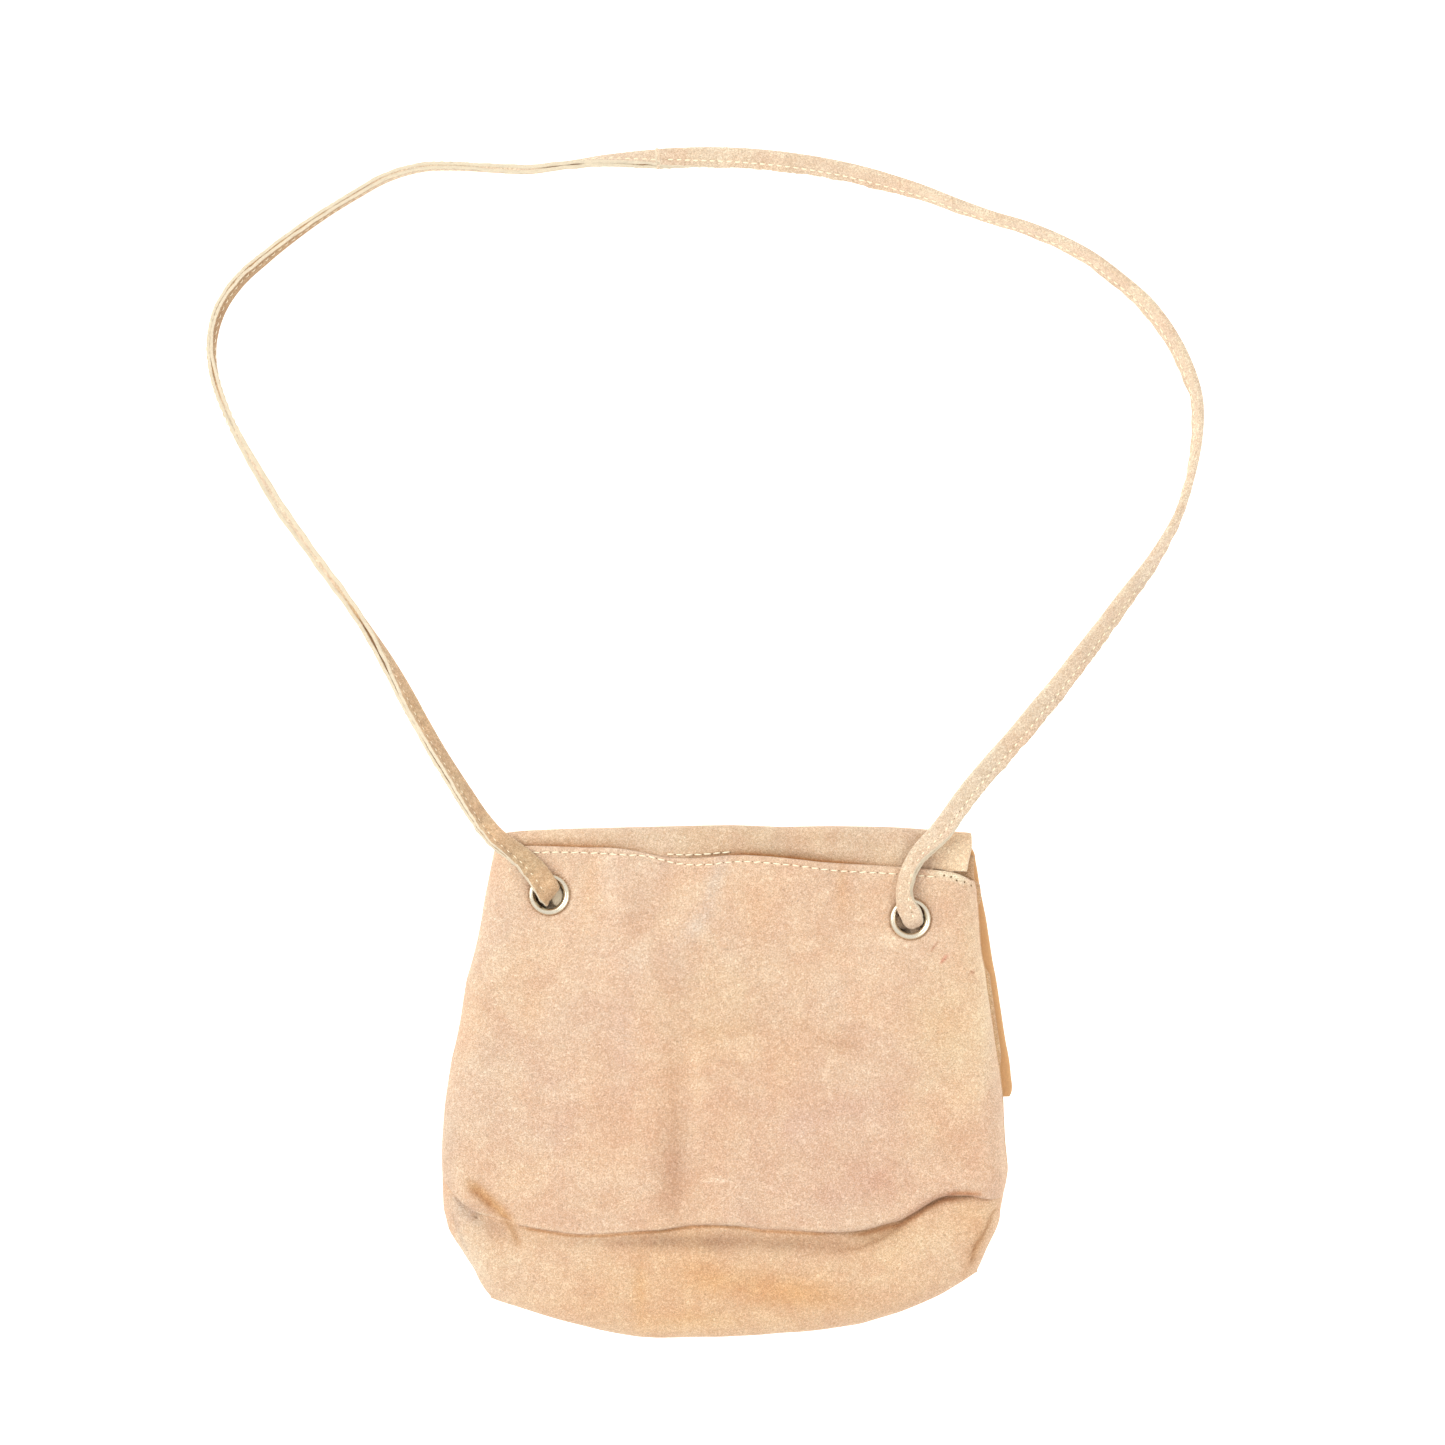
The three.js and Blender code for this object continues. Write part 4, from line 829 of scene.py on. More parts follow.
def stitches(name, points, ups, alongs, pitch, mat, length=0.80, radius=0.36, rise=0.20, lean=0.12, seed=3):
    """One closed thread loop per stitch, arched out of the leather with its ends pulled into the needle holes.
    points are the middles of the stitches, mm."""
    r = np.random.RandomState(seed)
    rings, k = ((7, 6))
    V, F = [], []
    for c, up, al in zip(points, ups, alongs):
        side = np.cross(up, al); side /= np.linalg.norm(side)
        L = pitch * length * (1 + r.uniform(-0.06, 0.06)); tilt = r.uniform(-0.6, 1.0) * lean
        base = len(V)
        for a in range(rings):
            u = a / (rings - 1) * 2 - 1
            h = rise * (1 - u * u) - 0.42 * max(0.0, abs(u) - 0.62) / 0.38
            w = radius * (1 - 0.42 * abs(u) ** 2.5)
            m = c + al * (L / 2 * u) + up * h + side * (u * tilt * L / 2)
            for b in range(k):
                th = 2 * math.pi * b / k + 0.6 * u
                V.append(m + side * (math.cos(th) * w) + up * (math.sin(th) * w * 0.78))
        for a in range(rings - 1):
            for b in range(k):
                b2 = (b + 1) % k
                F.append([base + a * k + b, base + a * k + b2, base + (a + 1) * k + b2, base + (a + 1) * k + b])
        F.append([base + b for b in range(k)][::-1])
        F.append([base + (rings - 1) * k + b for b in range(k)])
    ob = build(name, np.array(V), F, None, mat)
    fix_outward(ob)
    return ob


def holes(name, points, ups, mat, radius=0.34):
    """Needle holes: small dents between the stitches, coloured dark as painted shade in them."""
    V, F = [], []
    k = 6
    for c, up in zip(points, ups):
        a = np.cross(up, (1, 0.3, 0.2)); a /= np.linalg.norm(a); b = np.cross(up, a)
        base = len(V)
        for h, w in ((0.10, 0.45), (0.04, 1.0), (-0.35, 0.7)):
            for j in range(k):
                th = 2 * math.pi * j / k
                V.append(c + up * h + (a * math.cos(th) + b * math.sin(th)) * radius * w)
        for ring in range(2):
            for j in range(k):
                j2 = (j + 1) % k
                F.append([base + ring * k + j, base + ring * k + j2, base + (ring + 1) * k + j2, base + (ring + 1) * k + j])
        F.append([base + j for j in range(k)]); F.append([base + 2 * k + j for j in range(k)][::-1])
    ob = build(name, np.array(V), F, None, mat)
    fix_outward(ob)
    return ob


# ------------------------------------------------------------------ strap: two lengths of folded and stitched suede
def declared_path(C):
    keep = list(range(0, len(C), max(1, len(C) // 160)))
    if keep[-1] != len(C) - 1:
        keep.append(len(C) - 1)
    return [tuple(float(v) * MM for v in C[i]) for i in keep]


def strap_stitches(name, C, Wd, Th, T, q, face, pitch, length, radius, rise, first, last, seed, line):
    """A row of stitches in the dimple along one face of a strap length."""
    at = np.arange(q[0] + first, q[-1] - last, pitch)
    p = np.stack([np.interp(at, q, C[:, k]) for k in range(3)], 1)
    w = np.stack([np.interp(at, q, Wd[:, k]) for k in range(3)], 1)
    h = np.stack([np.interp(at, q, Th[:, k]) for k in range(3)], 1) * face
    t = np.stack([np.interp(at, q, T[:, k]) for k in range(3)], 1)
    for v in (w, h, t):
        v /= np.linalg.norm(v, axis=1, keepdims=True)
    lift = np.zeros(len(at))
    if name.startswith("strap_left"):
        lift = 0.34 * smooth(-92, -112, p[:, 0]) * smooth(246, 262, p[:, 1]) - 0.12 * smooth(205, 186, p[:, 1])
    mid = p + w * line + h * (1.32 + lift)[:, None]
    ob = stitches(name, mid, h, t, pitch, thread_mat, length, radius, rise, 0.10, seed)
    gap = p + w * line + h * 1.20 + t * (pitch / 2)
    dots = holes(name + "_holes", gap, h, hole_mat, 0.30)
    return ob, dots


right_ob, RC, RW, RT, RTan, RQ = strap_length("strap_right", STRAP_RIGHT, (1, 0, 0), None, 31, strap_mat)
left_ob, LC, LW, LT, LTan, LQ = strap_length("strap_left", STRAP_LEFT, None, (-0.62, -0.78, 0), 47, strap_mat)
strap_pieces = {"strap_right": [], "strap_left": []}
for nm, data, face, length, radius, rise, seed in (
        ("strap_right", (RC, RW, RT, RTan, RQ), -1.0, 0.50, 0.34, 0.14, 5), ("strap_right", (RC, RW, RT, RTan, RQ), 1.0, 0.74, 0.34, 0.18, 6),
        ("strap_left", (LC, LW, LT, LTan, LQ), -1.0, 0.56, 0.22, 0.04, 7), ("strap_left", (LC, LW, LT, LTan, LQ), 1.0, 0.74, 0.30, 0.16, 8)):
    first, last = (10, 2.2) if nm == "strap_right" else (1.6, 10)
    a, b = strap_stitches(f"{nm}_stitches_{'over' if face > 0 else 'under'}", *data, face, 3.37, length, radius, rise, first, last, seed,
                          1.5 if nm == "strap_right" else 2.0)
    strap_pieces[nm] += [a, b]


# the two lengths meet end to end in a narrow turned seam
def lap_band():
    k = len(SECTIONS["strap_right"])
    sec = np.array([(a * 1.02, b * 1.07) for a, b, _ in SECTIONS["strap_right"]])
    at = np.linspace(-1, 1, 9)
    c0, w0, h0, t0 = RC[-1], RW[-1], RT[-1], RTan[-1]
    cs = np.array([c0 + t0 * (0.80 * a) for a in at])
    grow = 1 - 0.16 * np.abs(at) ** 3
    ws = np.array([w0 * g for g in grow]); hs = np.array([h0 * g for g in grow])
    ob = tube("strap_join", cs, ws, hs, sec, np.full(k, 0.12), strap_mat, tint=np.ones((len(cs) * k, 3)) * np.array((1.12, 1.17, 1.20)))
    return ob


join = lap_band()


def knot_piece(name, centre, mat, spread=1.0, swing=2.1, tone=(1.22, 1.22, 1.22)):
    n, k = 96, 10
    t = np.linspace(0, 2 * math.pi, n, endpoint=False)
    c = np.stack([(np.sin(t) + 2 * np.sin(2 * t)) / 3 * 7.4 * spread, (np.cos(t) - 2 * np.cos(2 * t)) / 3 * 5.9 * spread, -np.sin(3 * t) * swing], 1)
    tan = np.roll(c, -1, 0) - np.roll(c, 1, 0); tan /= np.linalg.norm(tan, axis=1, keepdims=True)
    side = np.cross(tan, (0, 0, 1.0)); side /= np.linalg.norm(side, axis=1, keepdims=True)
    up = np.cross(side, tan)
    a = np.arange(k) * 2 * math.pi / k
    P = c[:, None, :] + side[:, None, :] * (2.3 * np.cos(a))[None, :, None] + up[:, None, :] * (1.15 * np.sin(a))[None, :, None]
    P = P.reshape(-1, 3) + np.array(centre)
    i = np.arange(n)[:, None]; j = np.arange(k)[None, :]
    F = np.stack([i * k + j, i * k + (j + 1) % k, ((i + 1) % n) * k + (j + 1) % k, ((i + 1) % n) * k + j], -1).reshape(-1, 4)
    z = np.zeros(n * k)
    ob = build(name, P, F, {"raw": z, "tint": np.ones((n * k, 3)) * np.array(tone), "inside": z}, mat)
    fix_outward(ob)
    return ob


# both knots are coloured paler than the strap: painted light in the shade of the eyelet holes
left_knot = knot_piece("knot_left", (-69.6, 75.2, 8.6), strap_mat, 0.8, 1.2, (1.24, 1.36, 1.45))
right_knot = knot_piece("knot_right", (72.3, 65.0, 7.6), strap_mat)


def knot_tail():
    """The cut end of the left length, turned up beside it in the mouth of the eyelet."""
    n, k = 28, 7
    a = np.arange(n) * 2 * math.pi / n
    rings = [(0.62, 9.6), (0.98, 10.4), (1.0, 13.3), (0.93, 13.7), (0.78, 13.9), (0.45, 14.0), (0.12, 14.04)][:k]
    P = np.array([[(-67.7 + 2.25 * r * math.cos(t) + 0.10 * math.sin(3 * t) * r, 74.2 + 3.8 * r * math.sin(t), z + 0.10 * math.cos(t) * r) for t in a] for r, z in rings])
    # it is squeezed against the barrel
    off = P[..., :2] - np.array((-70.8, 75.1)); far = np.linalg.norm(off, axis=-1, keepdims=True)
    P[..., :2] = np.array((-70.8, 75.1)) + off * np.minimum(1.0, 5.45 / far)
    i = np.arange(k - 1)[:, None] * n; j = np.arange(n)[None, :]; j2 = (j + 1) % n
    F = np.stack([i + j, i + j2, i + n + j2, i + n + j], -1).reshape(-1, 4).tolist()
    F += [list(range(n))[::-1], list(range((k - 1) * n, k * n))]
    m = k * n
    ob = build("knot_left_tail", P.reshape(-1, 3), F, {"raw": np.full(m, 0.9), "tint": np.ones((m, 3)) * np.array((0.96, 0.99, 0.96)), "inside": np.zeros(m)}, strap_mat)
    fix_outward(ob)
    return ob


tail = knot_tail()

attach(right_ob, "bag"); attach(left_ob, "bag"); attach(join, "bag"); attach(left_knot, "bag"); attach(right_knot, "bag"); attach(tail, "bag")
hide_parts("strap_right_length"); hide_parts("strap_left_length")
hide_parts("left_strap_knot"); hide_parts("right_strap_knot")
for group in strap_pieces.values():
    for ob in group:
        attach(ob, "bag")
strap_pieces["strap_right"].append(join)
strap_pieces["strap_left"].append(tail)
for ob, C, end, knot in ((right_ob, RC, 0, right_knot), (left_ob, LC, -1, left_knot)):
    path = declared_path(C)
    if end == -1:
        path = path[::-1]

# ------------------------------------------------------------------ body panels
SUEDE, GAP = 1.4, 0.3
FOLD_Y, FLAP_END_Y = 101.6, -6.0
REAR_Z = 14.6
EYELETS = {"left": (-70.8, 75.1), "right": (72.6, 65.4)}
RL, RR = 13.0, 10.0


def front_under(y):
    return 1.7 * smooth(FLAP_END_Y - 9, FLAP_END_Y - 1.2, y)


def quarter(u):
    u = clamp(u, 0, 1)
    return np.sqrt(np.maximum(0, 1 - (1 - u) ** 2))


def spaced(a, b, fine, coarse, near_a, near_b, extra=()):
    """Steps from a to b: fine near the ends and inside the extra spans, coarse elsewhere."""
    out = [a]
    while out[-1] < b:
        v = out[-1]
        step = coarse
        if v - a < near_a or b - v < near_b: step = fine
        for lo, hi, st in extra:
            if lo <= v <= hi: step = min(step, st)
        out.append(v + step * 1.0)
    out = np.array(out); out = a + (out - a) * (b - a) / (out[-1] - a)
    return out


def columns(rl, rr, width=205.0, extra=()):
    """How a row of points crosses a panel: x = left + A*width + B."""
    n = 15
    f = np.linspace(0, math.pi / 2, n, endpoint=False)
    A = [np.zeros(n)]; B = [rl * (1 - np.cos(f))]
    m = spaced(0, width - rl - rr, 1.0, 1.0, 0, 0, extra) / (width - rl - rr)
    A.append(m); B.append(rl - m * (rl + rr))
    g = np.linspace(math.pi / 2, 0, n, endpoint=False)[1:]
    g = np.concatenate([g, [0.0]])
    A.append(np.ones(len(g))); B.append(-rr * (1 - np.cos(g)))
    return np.concatenate(A), np.concatenate(B)


def plan(A, B, t, upper, lower, left=left_at, right=right_at):
    """Plan positions of a grid: t runs from the upper to the lower outline."""
    A2, T2 = np.meshgrid(A, t); B2 = np.broadcast_to(B, A2.shape)
    y = upper(0 * T2) * (1 - T2) + lower(0 * T2) * T2
    for _ in range(40):
        l = left(y); x = l + A2 * (right(y) - l) + B2
        y = y + 0.7 * (upper(x) * (1 - T2) + lower(x) * T2 - y)
    return x, y, T2


# how far the two sides of the base seam are drawn down, and how slowly the base rises again
_px = lambda px: (px - 727.5) * 0.3972 + 0.0
SEAM_X = np.array([-116, -106, -98, -90, -84, -70, -40, -30, 0, 30, 52, 62, 70, 84, 96, 104, 110])
LIP_DROP = np.array([0.9, 1.0, 1.2, 1.3, 1.4, 1.3, 1.4, 2.2, 2.8, 2.7, 2.8, 3.8, 4.6, 4.6, 3.8, 1.6, 0.9])
LIP_RADIUS = np.array([1.4, 1.4, 1.4, 1.3, 1.2, 1.2, 1.3, 2.2, 2.9, 2.7, 2.7, 3.2, 3.4, 3.0, 2.4, 1.6, 1.2])
BASE_RISE = np.array([1.2, 1.2, 1.4, 1.4, 1.0, 0.9, 1.6, 3.6, 5.0, 5.0, 5.0, 4.6, 3.6, 3.0, 2.2, 1.2, 1.0])


def puff(x, y):
    mid = np.sqrt(np.maximum(0, 1 - (x / 118.0) ** 2))
    return 1.3 * smooth(50, -45, y) * mid - 0.5 * smooth(70, 95, y) * 0


TOP_SWELL = waves(101, 26, 70, 18)
ROUGH = waves(103, 9, 22, 40)


def folds(x, y):
    """The soft folds of the rear panel."""
    z = np.zeros_like(x)
    # long valley down the middle, steeper on its left
    dx = x - (-16.6 - 0.02 * (y + 10)); w = np.where(dx < 0, 4.6, 8.5)
    z -= 1.05 * np.exp(-(np.abs(dx) / w) ** 1.5) * smooth(36, 8, y) * (1 - 0.35 * smooth(-35, -52, y))
    z += 0.35 * np.exp(-((dx + 13) / 8.0) ** 2) * smooth(40, 5, y)
    z += 0.35 * np.exp(-((dx - 19) / 10.0) ** 2) * smooth(40, 5, y)
    # sweeping fold on the right
    z += crease(x, y, [(9, 38), (25, 20), (47, 14), (69, 4)], -0.55, 6.0, 0.3)
    z += crease(x, y, [(19, 40), (49, 42), (81, 12), (101, 0)], 0.50, 6.0, 0.3)
    z += crease(x, y, [(54, 20), (101, 0)], 0.20, 2.2, 0.3)
    z += crease(x, y, [(-11, 20), (13, 20)], -0.22, 2.0, 0.4)
    # gathers under the hem
    h = top_at(x) - y
    fade = np.exp(-(np.maximum(h, 0) / 30.0) ** 1.6)
    for cx, cw, amp in ((-42.3, 6.5, 0.65), (-9.0, 8, 0.60), (36.7, 9, 0.65), (56.6, 5, 0.5), (-54.6, 6, -0.55), (-26, 8, -0.60), (13, 11, -0.55),
                        (48.6, 5.5, -0.6), (84, 7, 0.35), (-84, 6, 0.3)):
        z += amp * np.exp(-((x - cx - 0.05 * h) / cw) ** 2) * fade
    # lower left corner: a pucker running down to the seam, and the roll beside it
    z += crease(x, y, LEFT_PUCKER, -2.3, 3.0, 0.22)
    z += crease(x, y, [(-108, -30), (-101, -45), (-94, -51)], 0.8, 3.4, 0.3)
    z += crease(x, y, [(-98, -30), (-86, -44), (-76, -52)], 0.7, 4.0, 0.3)
    # lower right: the fold that runs into the seam, and a short crease above it
    z += crease(x, y, [(60, -36), (78, -32), (93, -24), (104, -20)], -0.5, 4.0, 0.3)
    z += crease(x, y, [(86, -44.2), (93, -42.5), (101, -42.6)], -0.9, 1.5, 0.3)
    z += crease(x, y, [(70, -48), (84, -41), (96, -37)], 0.6, 4.2, 0.3)
    z += crease(x, y, [(92, -22), (100, -17)], -0.45, 2.2, 0.4)
    z += 0.22 * TOP_SWELL(x, y) + 0.055 * ROUGH(x, y)
    return z


def rear_height(x, y):
    l, r = left_at(y), right_at(y)
    h = quarter((x - l) / RL) * quarter((r - x) / RR)
    foot = front_under(y + 3) + 1.7
    top = REAR_Z + puff(x, y)
    soft = smooth(0.25, 1.0, h)
    z = foot + (top - foot) * h + folds(x, y) * soft
    d = top_at(x) - y
    lift = 0.95 * np.exp(-((x + 68) / 27.0) ** 2) + 1.05 * np.exp(-((x - 27) / 25.0) ** 2) + 0.45 * np.exp(-((x - 76) / 12.0) ** 2)
    press = -0.55 * np.exp(-((x + 13) / 13.0) ** 2)
    z += (lift + press) * np.exp(-(d / 10.0) ** 2) * soft
    z += 0.30 * smooth(4.4, 3.1, d) * soft
    row = hem_row(x)
    z -= (0.34 + 0.14 * np.cos(2 * math.pi * x / HEM_PITCH)) * np.exp(-((y - row) / 0.62) ** 2) * soft
    z -= 1.25 * (1 - quarter(d / 1.15)) * h
    s = y - seam_at(x)
    drop = np.interp(x, SEAM_X, LIP_DROP); rad = np.interp(x, SEAM_X, LIP_RADIUS)
    z -= drop * (1 - quarter(s / rad)) * smooth(0.15, 0.8, h)
    for cx, cy in EYELETS.values():
        e = np.hypot(x - cx, y - cy)
        flat = smooth(13.5, 8.8, e)
        z = z * (1 - flat) + (14.72 + 0.0 * e) * flat
        z += 0.30 * np.exp(-((e - 10.6) / 1.9) ** 2)
    return z


def rear_tone_with_painted_light_and_shade(x, y):
    t = np.ones(x.shape + (3,))
    for cx, cy, rx, ry, turn, mul in REAR_TONES_PAINTED_LIGHT_AND_SHADE:
        g = spot(x, y, cx, cy, rx, ry, turn)[..., None]
        t *= 1 + g * (np.array(mul) - 1)
    for pts, width, mul, ends in REAR_LINES_AND_PAINTED_SHADE:
        d, f = line_field(x, y, pts)
        e = clamp(np.minimum(f, 1 - f) / ends, 0, 1) if ends else 1.0
        g = (np.exp(-(d / width) ** 2) * e)[..., None]
        t *= 1 + g * (np.array(mul) - 1)
    # a ring of painted contact shadow round the foot of each eyelet's flange
    for cx, cy in EYELETS.values():
        e = np.hypot(x - cx, y - cy)
        t *= 1 + np.exp(-((e - 8.2) / 0.55) ** 2)[..., None] * (np.array((0.55, 0.44, 0.34)) - 1)
    return t


def cut_holes(x, y, z, centres, clear, snap):
    """Which grid cells stay clear of the holes; the corners left round each hole are drawn onto its edge."""
    ny, nx = x.shape
    keep = np.ones((ny - 1, nx - 1), bool)
    for cx, cy in centres:
        inside = np.hypot(x - cx, y - cy) < clear
        hit = inside[:-1, :-1] | inside[1:, :-1] | inside[:-1, 1:] | inside[1:, 1:]
        keep &= ~hit
        touched = np.zeros((ny, nx), bool)
        touched[:-1, :-1] |= hit; touched[1:, :-1] |= hit; touched[:-1, 1:] |= hit; touched[1:, 1:] |= hit
        ring = touched & ~inside
        e = np.hypot(x - cx, y - cy)
        x[ring] = cx + (x[ring] - cx) * snap / e[ring]; y[ring] = cy + (y[ring] - cy) * snap / e[ring]
    return keep


def make_rear():
    A, B = columns(RL, RR, extra=((160, 176, 0.5),))
    length = 148.0
    t = spaced(0, length, 0.38, 0.9, 6.5, 6.0, extra=((22, 50, 0.55),)) / length
    x, y, _ = plan(A, B, t, top_at, seam_at)
    keep = cut_holes(x, y, None, EYELETS.values(), 6.35, 6.55)
    z = rear_height(x, y)
    tint = rear_tone_with_painted_light_and_shade(x, y)
    outer = np.stack([x, y, z], -1)
    return shell("rear_suede", outer, SUEDE, suede_mat, tint=tint, keep=keep, lowest=front_under(y + 3) + 1.7, raw_rim=0.0)


def base_height(x, y):
    l, r = left_at(y), right_at(y)
    h = quarter((x - l) / RL) * quarter((r - x) / RR)
    s = seam_at(x)
    v = clamp((s - y) / (s - bottom_at(x)), 0, 1)
    foot = 2.15
    at_seam = REAR_Z + puff(x, s)
    prof = np.maximum(0, 1 - v ** 2.35) ** (1 / 2.35)
    z = foot + (at_seam - 0.25 - foot) * prof * h
    soft = smooth(0.2, 0.9, h) * smooth(0.15, 0.7, prof)
    d = s - y
    drop = np.interp(x, SEAM_X, LIP_DROP) - 0.4; rise = np.interp(x, SEAM_X, BASE_RISE)
    z -= drop * np.exp(-(np.maximum(d, 0) / rise) ** 1.15) * smooth(0.15, 0.8, h)
    f = np.zeros_like(x)
    f += crease(x, y, [(39.7, -67), (46.8, -65.6), (54, -62.8), (61.7, -59.6), (70, -55)], -0.9, 2.0, 0.3)
    f += crease(x, y, [(36, -72), (52, -69), (70, -60)], 0.55, 3.6, 0.3)
    f += crease(x, y, [(-7, -64.5), (24, -76)], 0.7, 5.0, 0.35)
    f += crease(x, y, [(-20, -80), (14, -92), (50, -90)], -0.55, 9.0, 0.3)
    f += crease(x, y, [(-34.7, -64), (-34.2, -96)], -0.30, 1.6, 0.3)
    f += crease(x, y, [(-83.4, -58), (-83, -68)], -0.7, 1.5, 0.35)
    f += crease(x, y, [(-110, -52), (-107, -60), (-104.5, -64), (-101.5, -71)], -0.55, 1.6, 0.25)
    f += crease(x, y, [(-103, -55), (-94, -70), (-86, -82)], 0.6, 4.5, 0.3)
    f += crease(x, y, [(-98, -55), (-88, -62), (-80, -68)], -0.4, 3.0, 0.3)
    f += crease(x, y, RIGHT_LINE, -0.75, 0.9, 0.12)
    f += crease(x, y, [(104, -58), (97, -68), (94, -76)], 0.4, 2.2, 0.25)
    f += 0.20 * TOP_SWELL(x + 30, y) + 0.07 * ROUGH(x, y + 50)
    return z + f * soft


def base_tone_with_painted_shade(x, y):
    t = np.ones(x.shape + (3,)) * np.array(BASE_TONE)
    for cx, cy, rx, ry, turn, mul in BASE_TONES_AND_PAINTED_SHADE:
        g = spot(x, y, cx, cy, rx, ry, turn)[..., None]
        t *= 1 + g * (np.array(mul) - 1)
    for pts, width, mul, ends in BASE_LINES_AND_PAINTED_SHADE:
        d, f = line_field(x, y, pts)
        e = clamp(np.minimum(f, 1 - f) / ends, 0, 1) if ends else 1.0
        g = (np.exp(-(d / width) ** 2) * e)[..., None]
        t *= 1 + g * (np.array(mul) - 1)
    return t


def make_base():
    A, B = columns(RL, RR, extra=((168, 182, 0.6),))
    v1 = spaced(0, 31.0, 0.38, 0.9, 6.0, 0.0) / 43.0
    f = np.linspace(math.asin(v1[-1]), math.pi / 2, 22)[1:]
    v = np.concatenate([v1, np.sin(f)])
    x, y, V = plan(A, B, v, lambda q: seam_at(q) + 1.15, bottom_at)
    z = base_height(x, y)
    outer = np.stack([x, y, z], -1)
    return shell("base_suede", outer, SUEDE, suede_mat, tint=base_tone_with_painted_shade(x, y), lowest=2.1, raw_rim=0.0)


def front_right(y):
    show = 0.5 + 1.4 * (smooth(80.5, 79.0, y) * smooth(70, 73, y) + smooth(46, 42, y) * smooth(4, 12, y))
    return right_at(y) - 0.3 + show * smooth(-52, -36, y)


def make_front():
    n = 130
    A = np.linspace(0, 1, n); B = np.zeros(n)
    t = np.linspace(0, 1, 120)
    x, y, T2 = plan(A, B, t, lambda q: 0 * q + 90.0, lambda q: bottom_at(q) + 0.3, left=lambda q: left_at(q) + 0.3, right=front_right)
    z = front_under(y) + SUEDE - 0.02
    edge = np.minimum(x - left_at(y) - 0.3, front_right(y) - x)
    # a turned edge: the panel's side would roll up a little into its seam, but the rise is set to zero
    z = z + 0.0 * edge
    tint = np.ones(x.shape + (3,)) * np.array((0.98, 0.92, 0.76))
    ob = shell("front_suede", np.stack([x, y, z], -1), SUEDE - 0.02, suede_mat, tint=tint, raw_rim=0.0)
    return ob


rear = make_rear(); base = make_base(); front = make_front()
for ob, nd in ((rear, "rear_panel"), (base, "base_panel"), (front, "front_panel")):
    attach(ob, "bag"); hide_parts(nd)

# ------------------------------------------------------------------ flap: one sheet over two folds, made as two lengths that meet in the spine
FOLD_R = 4.2


def strip_right(y):
    return np.interp(y, [80.0, 83.6, 88.8, 93.9, 99.5, 104.0], [94.6, 94.8, 95.8, 97.0, 97.0, 97.0])


def flap_left(y):
    return -88.0 - 16.5 * clamp((100.0 - y) / 105.0, 0, 1)


def sink(x, d):
    """How far the strip lies below its level beside the hem, which stands off it there."""
    away = 0.7 * np.exp(-((x + 62) / 24.0) ** 2) + 1.35 * np.exp(-((x - 27) / 27.0) ** 2)
    return away * (np.exp(-(np.maximum(d - 0.3, 0) / 2.6) ** 2))


def flap_grid(lower):
    n = 190
    u = np.linspace(0, 1, n)
    xr = -88.0 + u * 185.0
    yf = fold_at(xr)                       # outermost line of the fold at each column
    arc = np.linspace(0, math.pi / 2, 12)
    rows = []
    if not lower:
        tuck = 7.0 * smooth(-82, -74, xr) * (1 - smooth(76, 84, xr)) - 0.35 * (1 - smooth(-82, -74, xr) * (1 - smooth(76, 84, xr)))
        inner = np.maximum(top_at(xr), np.where(xr > 92, 84.0, 0.0)) - tuck
        # rows: under the hem, close together beside it, then on to the spine
        near = np.maximum(inner + 0.2, top_at(xr) - 0.5); ridge = yf - FOLD_R
        far = np.maximum(near + 0.3, np.minimum(top_at(xr) + 3.2, top_at(xr) * 0.35 + ridge * 0.65))
        steps_of = [(inner, near, 8), (near, far, 18), (far, ridge, 10)]
        for y in [a_ * (1 - w) + b_ * w for a_, b_, m_ in steps_of for w in np.linspace(0, 1, m_, endpoint=False)]:
            d = y - top_at(xr)
            # the strip sinks beside the hem, where the hem stands off it
            z = 12.9 - sink(xr, d) + 0.10 * TOP_SWELL(xr * 1.7 + 9, y) * smooth(-1, 3, d)
            x = xr.copy()
            last = strip_right(y)
            x = -88.0 + (xr + 88.0) * (last + 88.0) / 185.0
            rows.append(np.stack([x, y, z], -1))
        for a in arc:
            y = yf - FOLD_R + FOLD_R * math.sin(a)
            z = 12.9 - FOLD_R + (FOLD_R - sink(xr, y - top_at(xr))) * math.cos(a)
            rows.append(np.stack([xr, y, z], -1))
        rows.append(np.stack([xr, yf, np.full(n, 6.5)], -1))
    else:
        rows.append(np.stack([xr, yf, np.full(n, 6.5)], -1))
        for a in arc:
            y = yf - FOLD_R + FOLD_R * math.cos(a); z = FOLD_R - FOLD_R * math.sin(a) + 0 * y
            rows.append(np.stack([xr, y, z], -1))
        start = yf - FOLD_R
        for w in np.linspace(0, 1, 90)[1:]:
            y = start * (1 - w) + FLAP_END_Y * w
            l, r = flap_left(y), flap_right_at(y)
            corner = 5.0 * np.maximum(0, 1 - (y - FLAP_END_Y) / 5.0) ** 2
            first = smooth(0.0, 0.05, w)
            l = -88.0 * (1 - first) + l * first; r = 97.0 * (1 - first) + r * first
            x = l + corner + (r - corner * 0.3 - l - corner) * u
            rows.append(np.stack([x, y, np.zeros(n)], -1))
    return np.array(rows)


up_grid = flap_grid(False); low_grid = flap_grid(True)
flap_upper = shell("flap_upper", up_grid, SUEDE, suede_mat, tint=np.ones(up_grid.shape) * np.array(STRIP_TONE) * strip_shade(up_grid, sink), raw_rim=0.8,
                   plain_rows=[len(up_grid) - 1])
flap_lower = shell("flap_lower", low_grid, SUEDE, flap_mat, up=False, tint=np.ones(low_grid.shape) * np.array(FLAP_TONE), raw_rim=0.75, plain_rows=[0])
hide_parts("flap_seam_strip"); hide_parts("flap_front", "flap_fold")
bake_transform(flap_upper)
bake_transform(flap_lower)

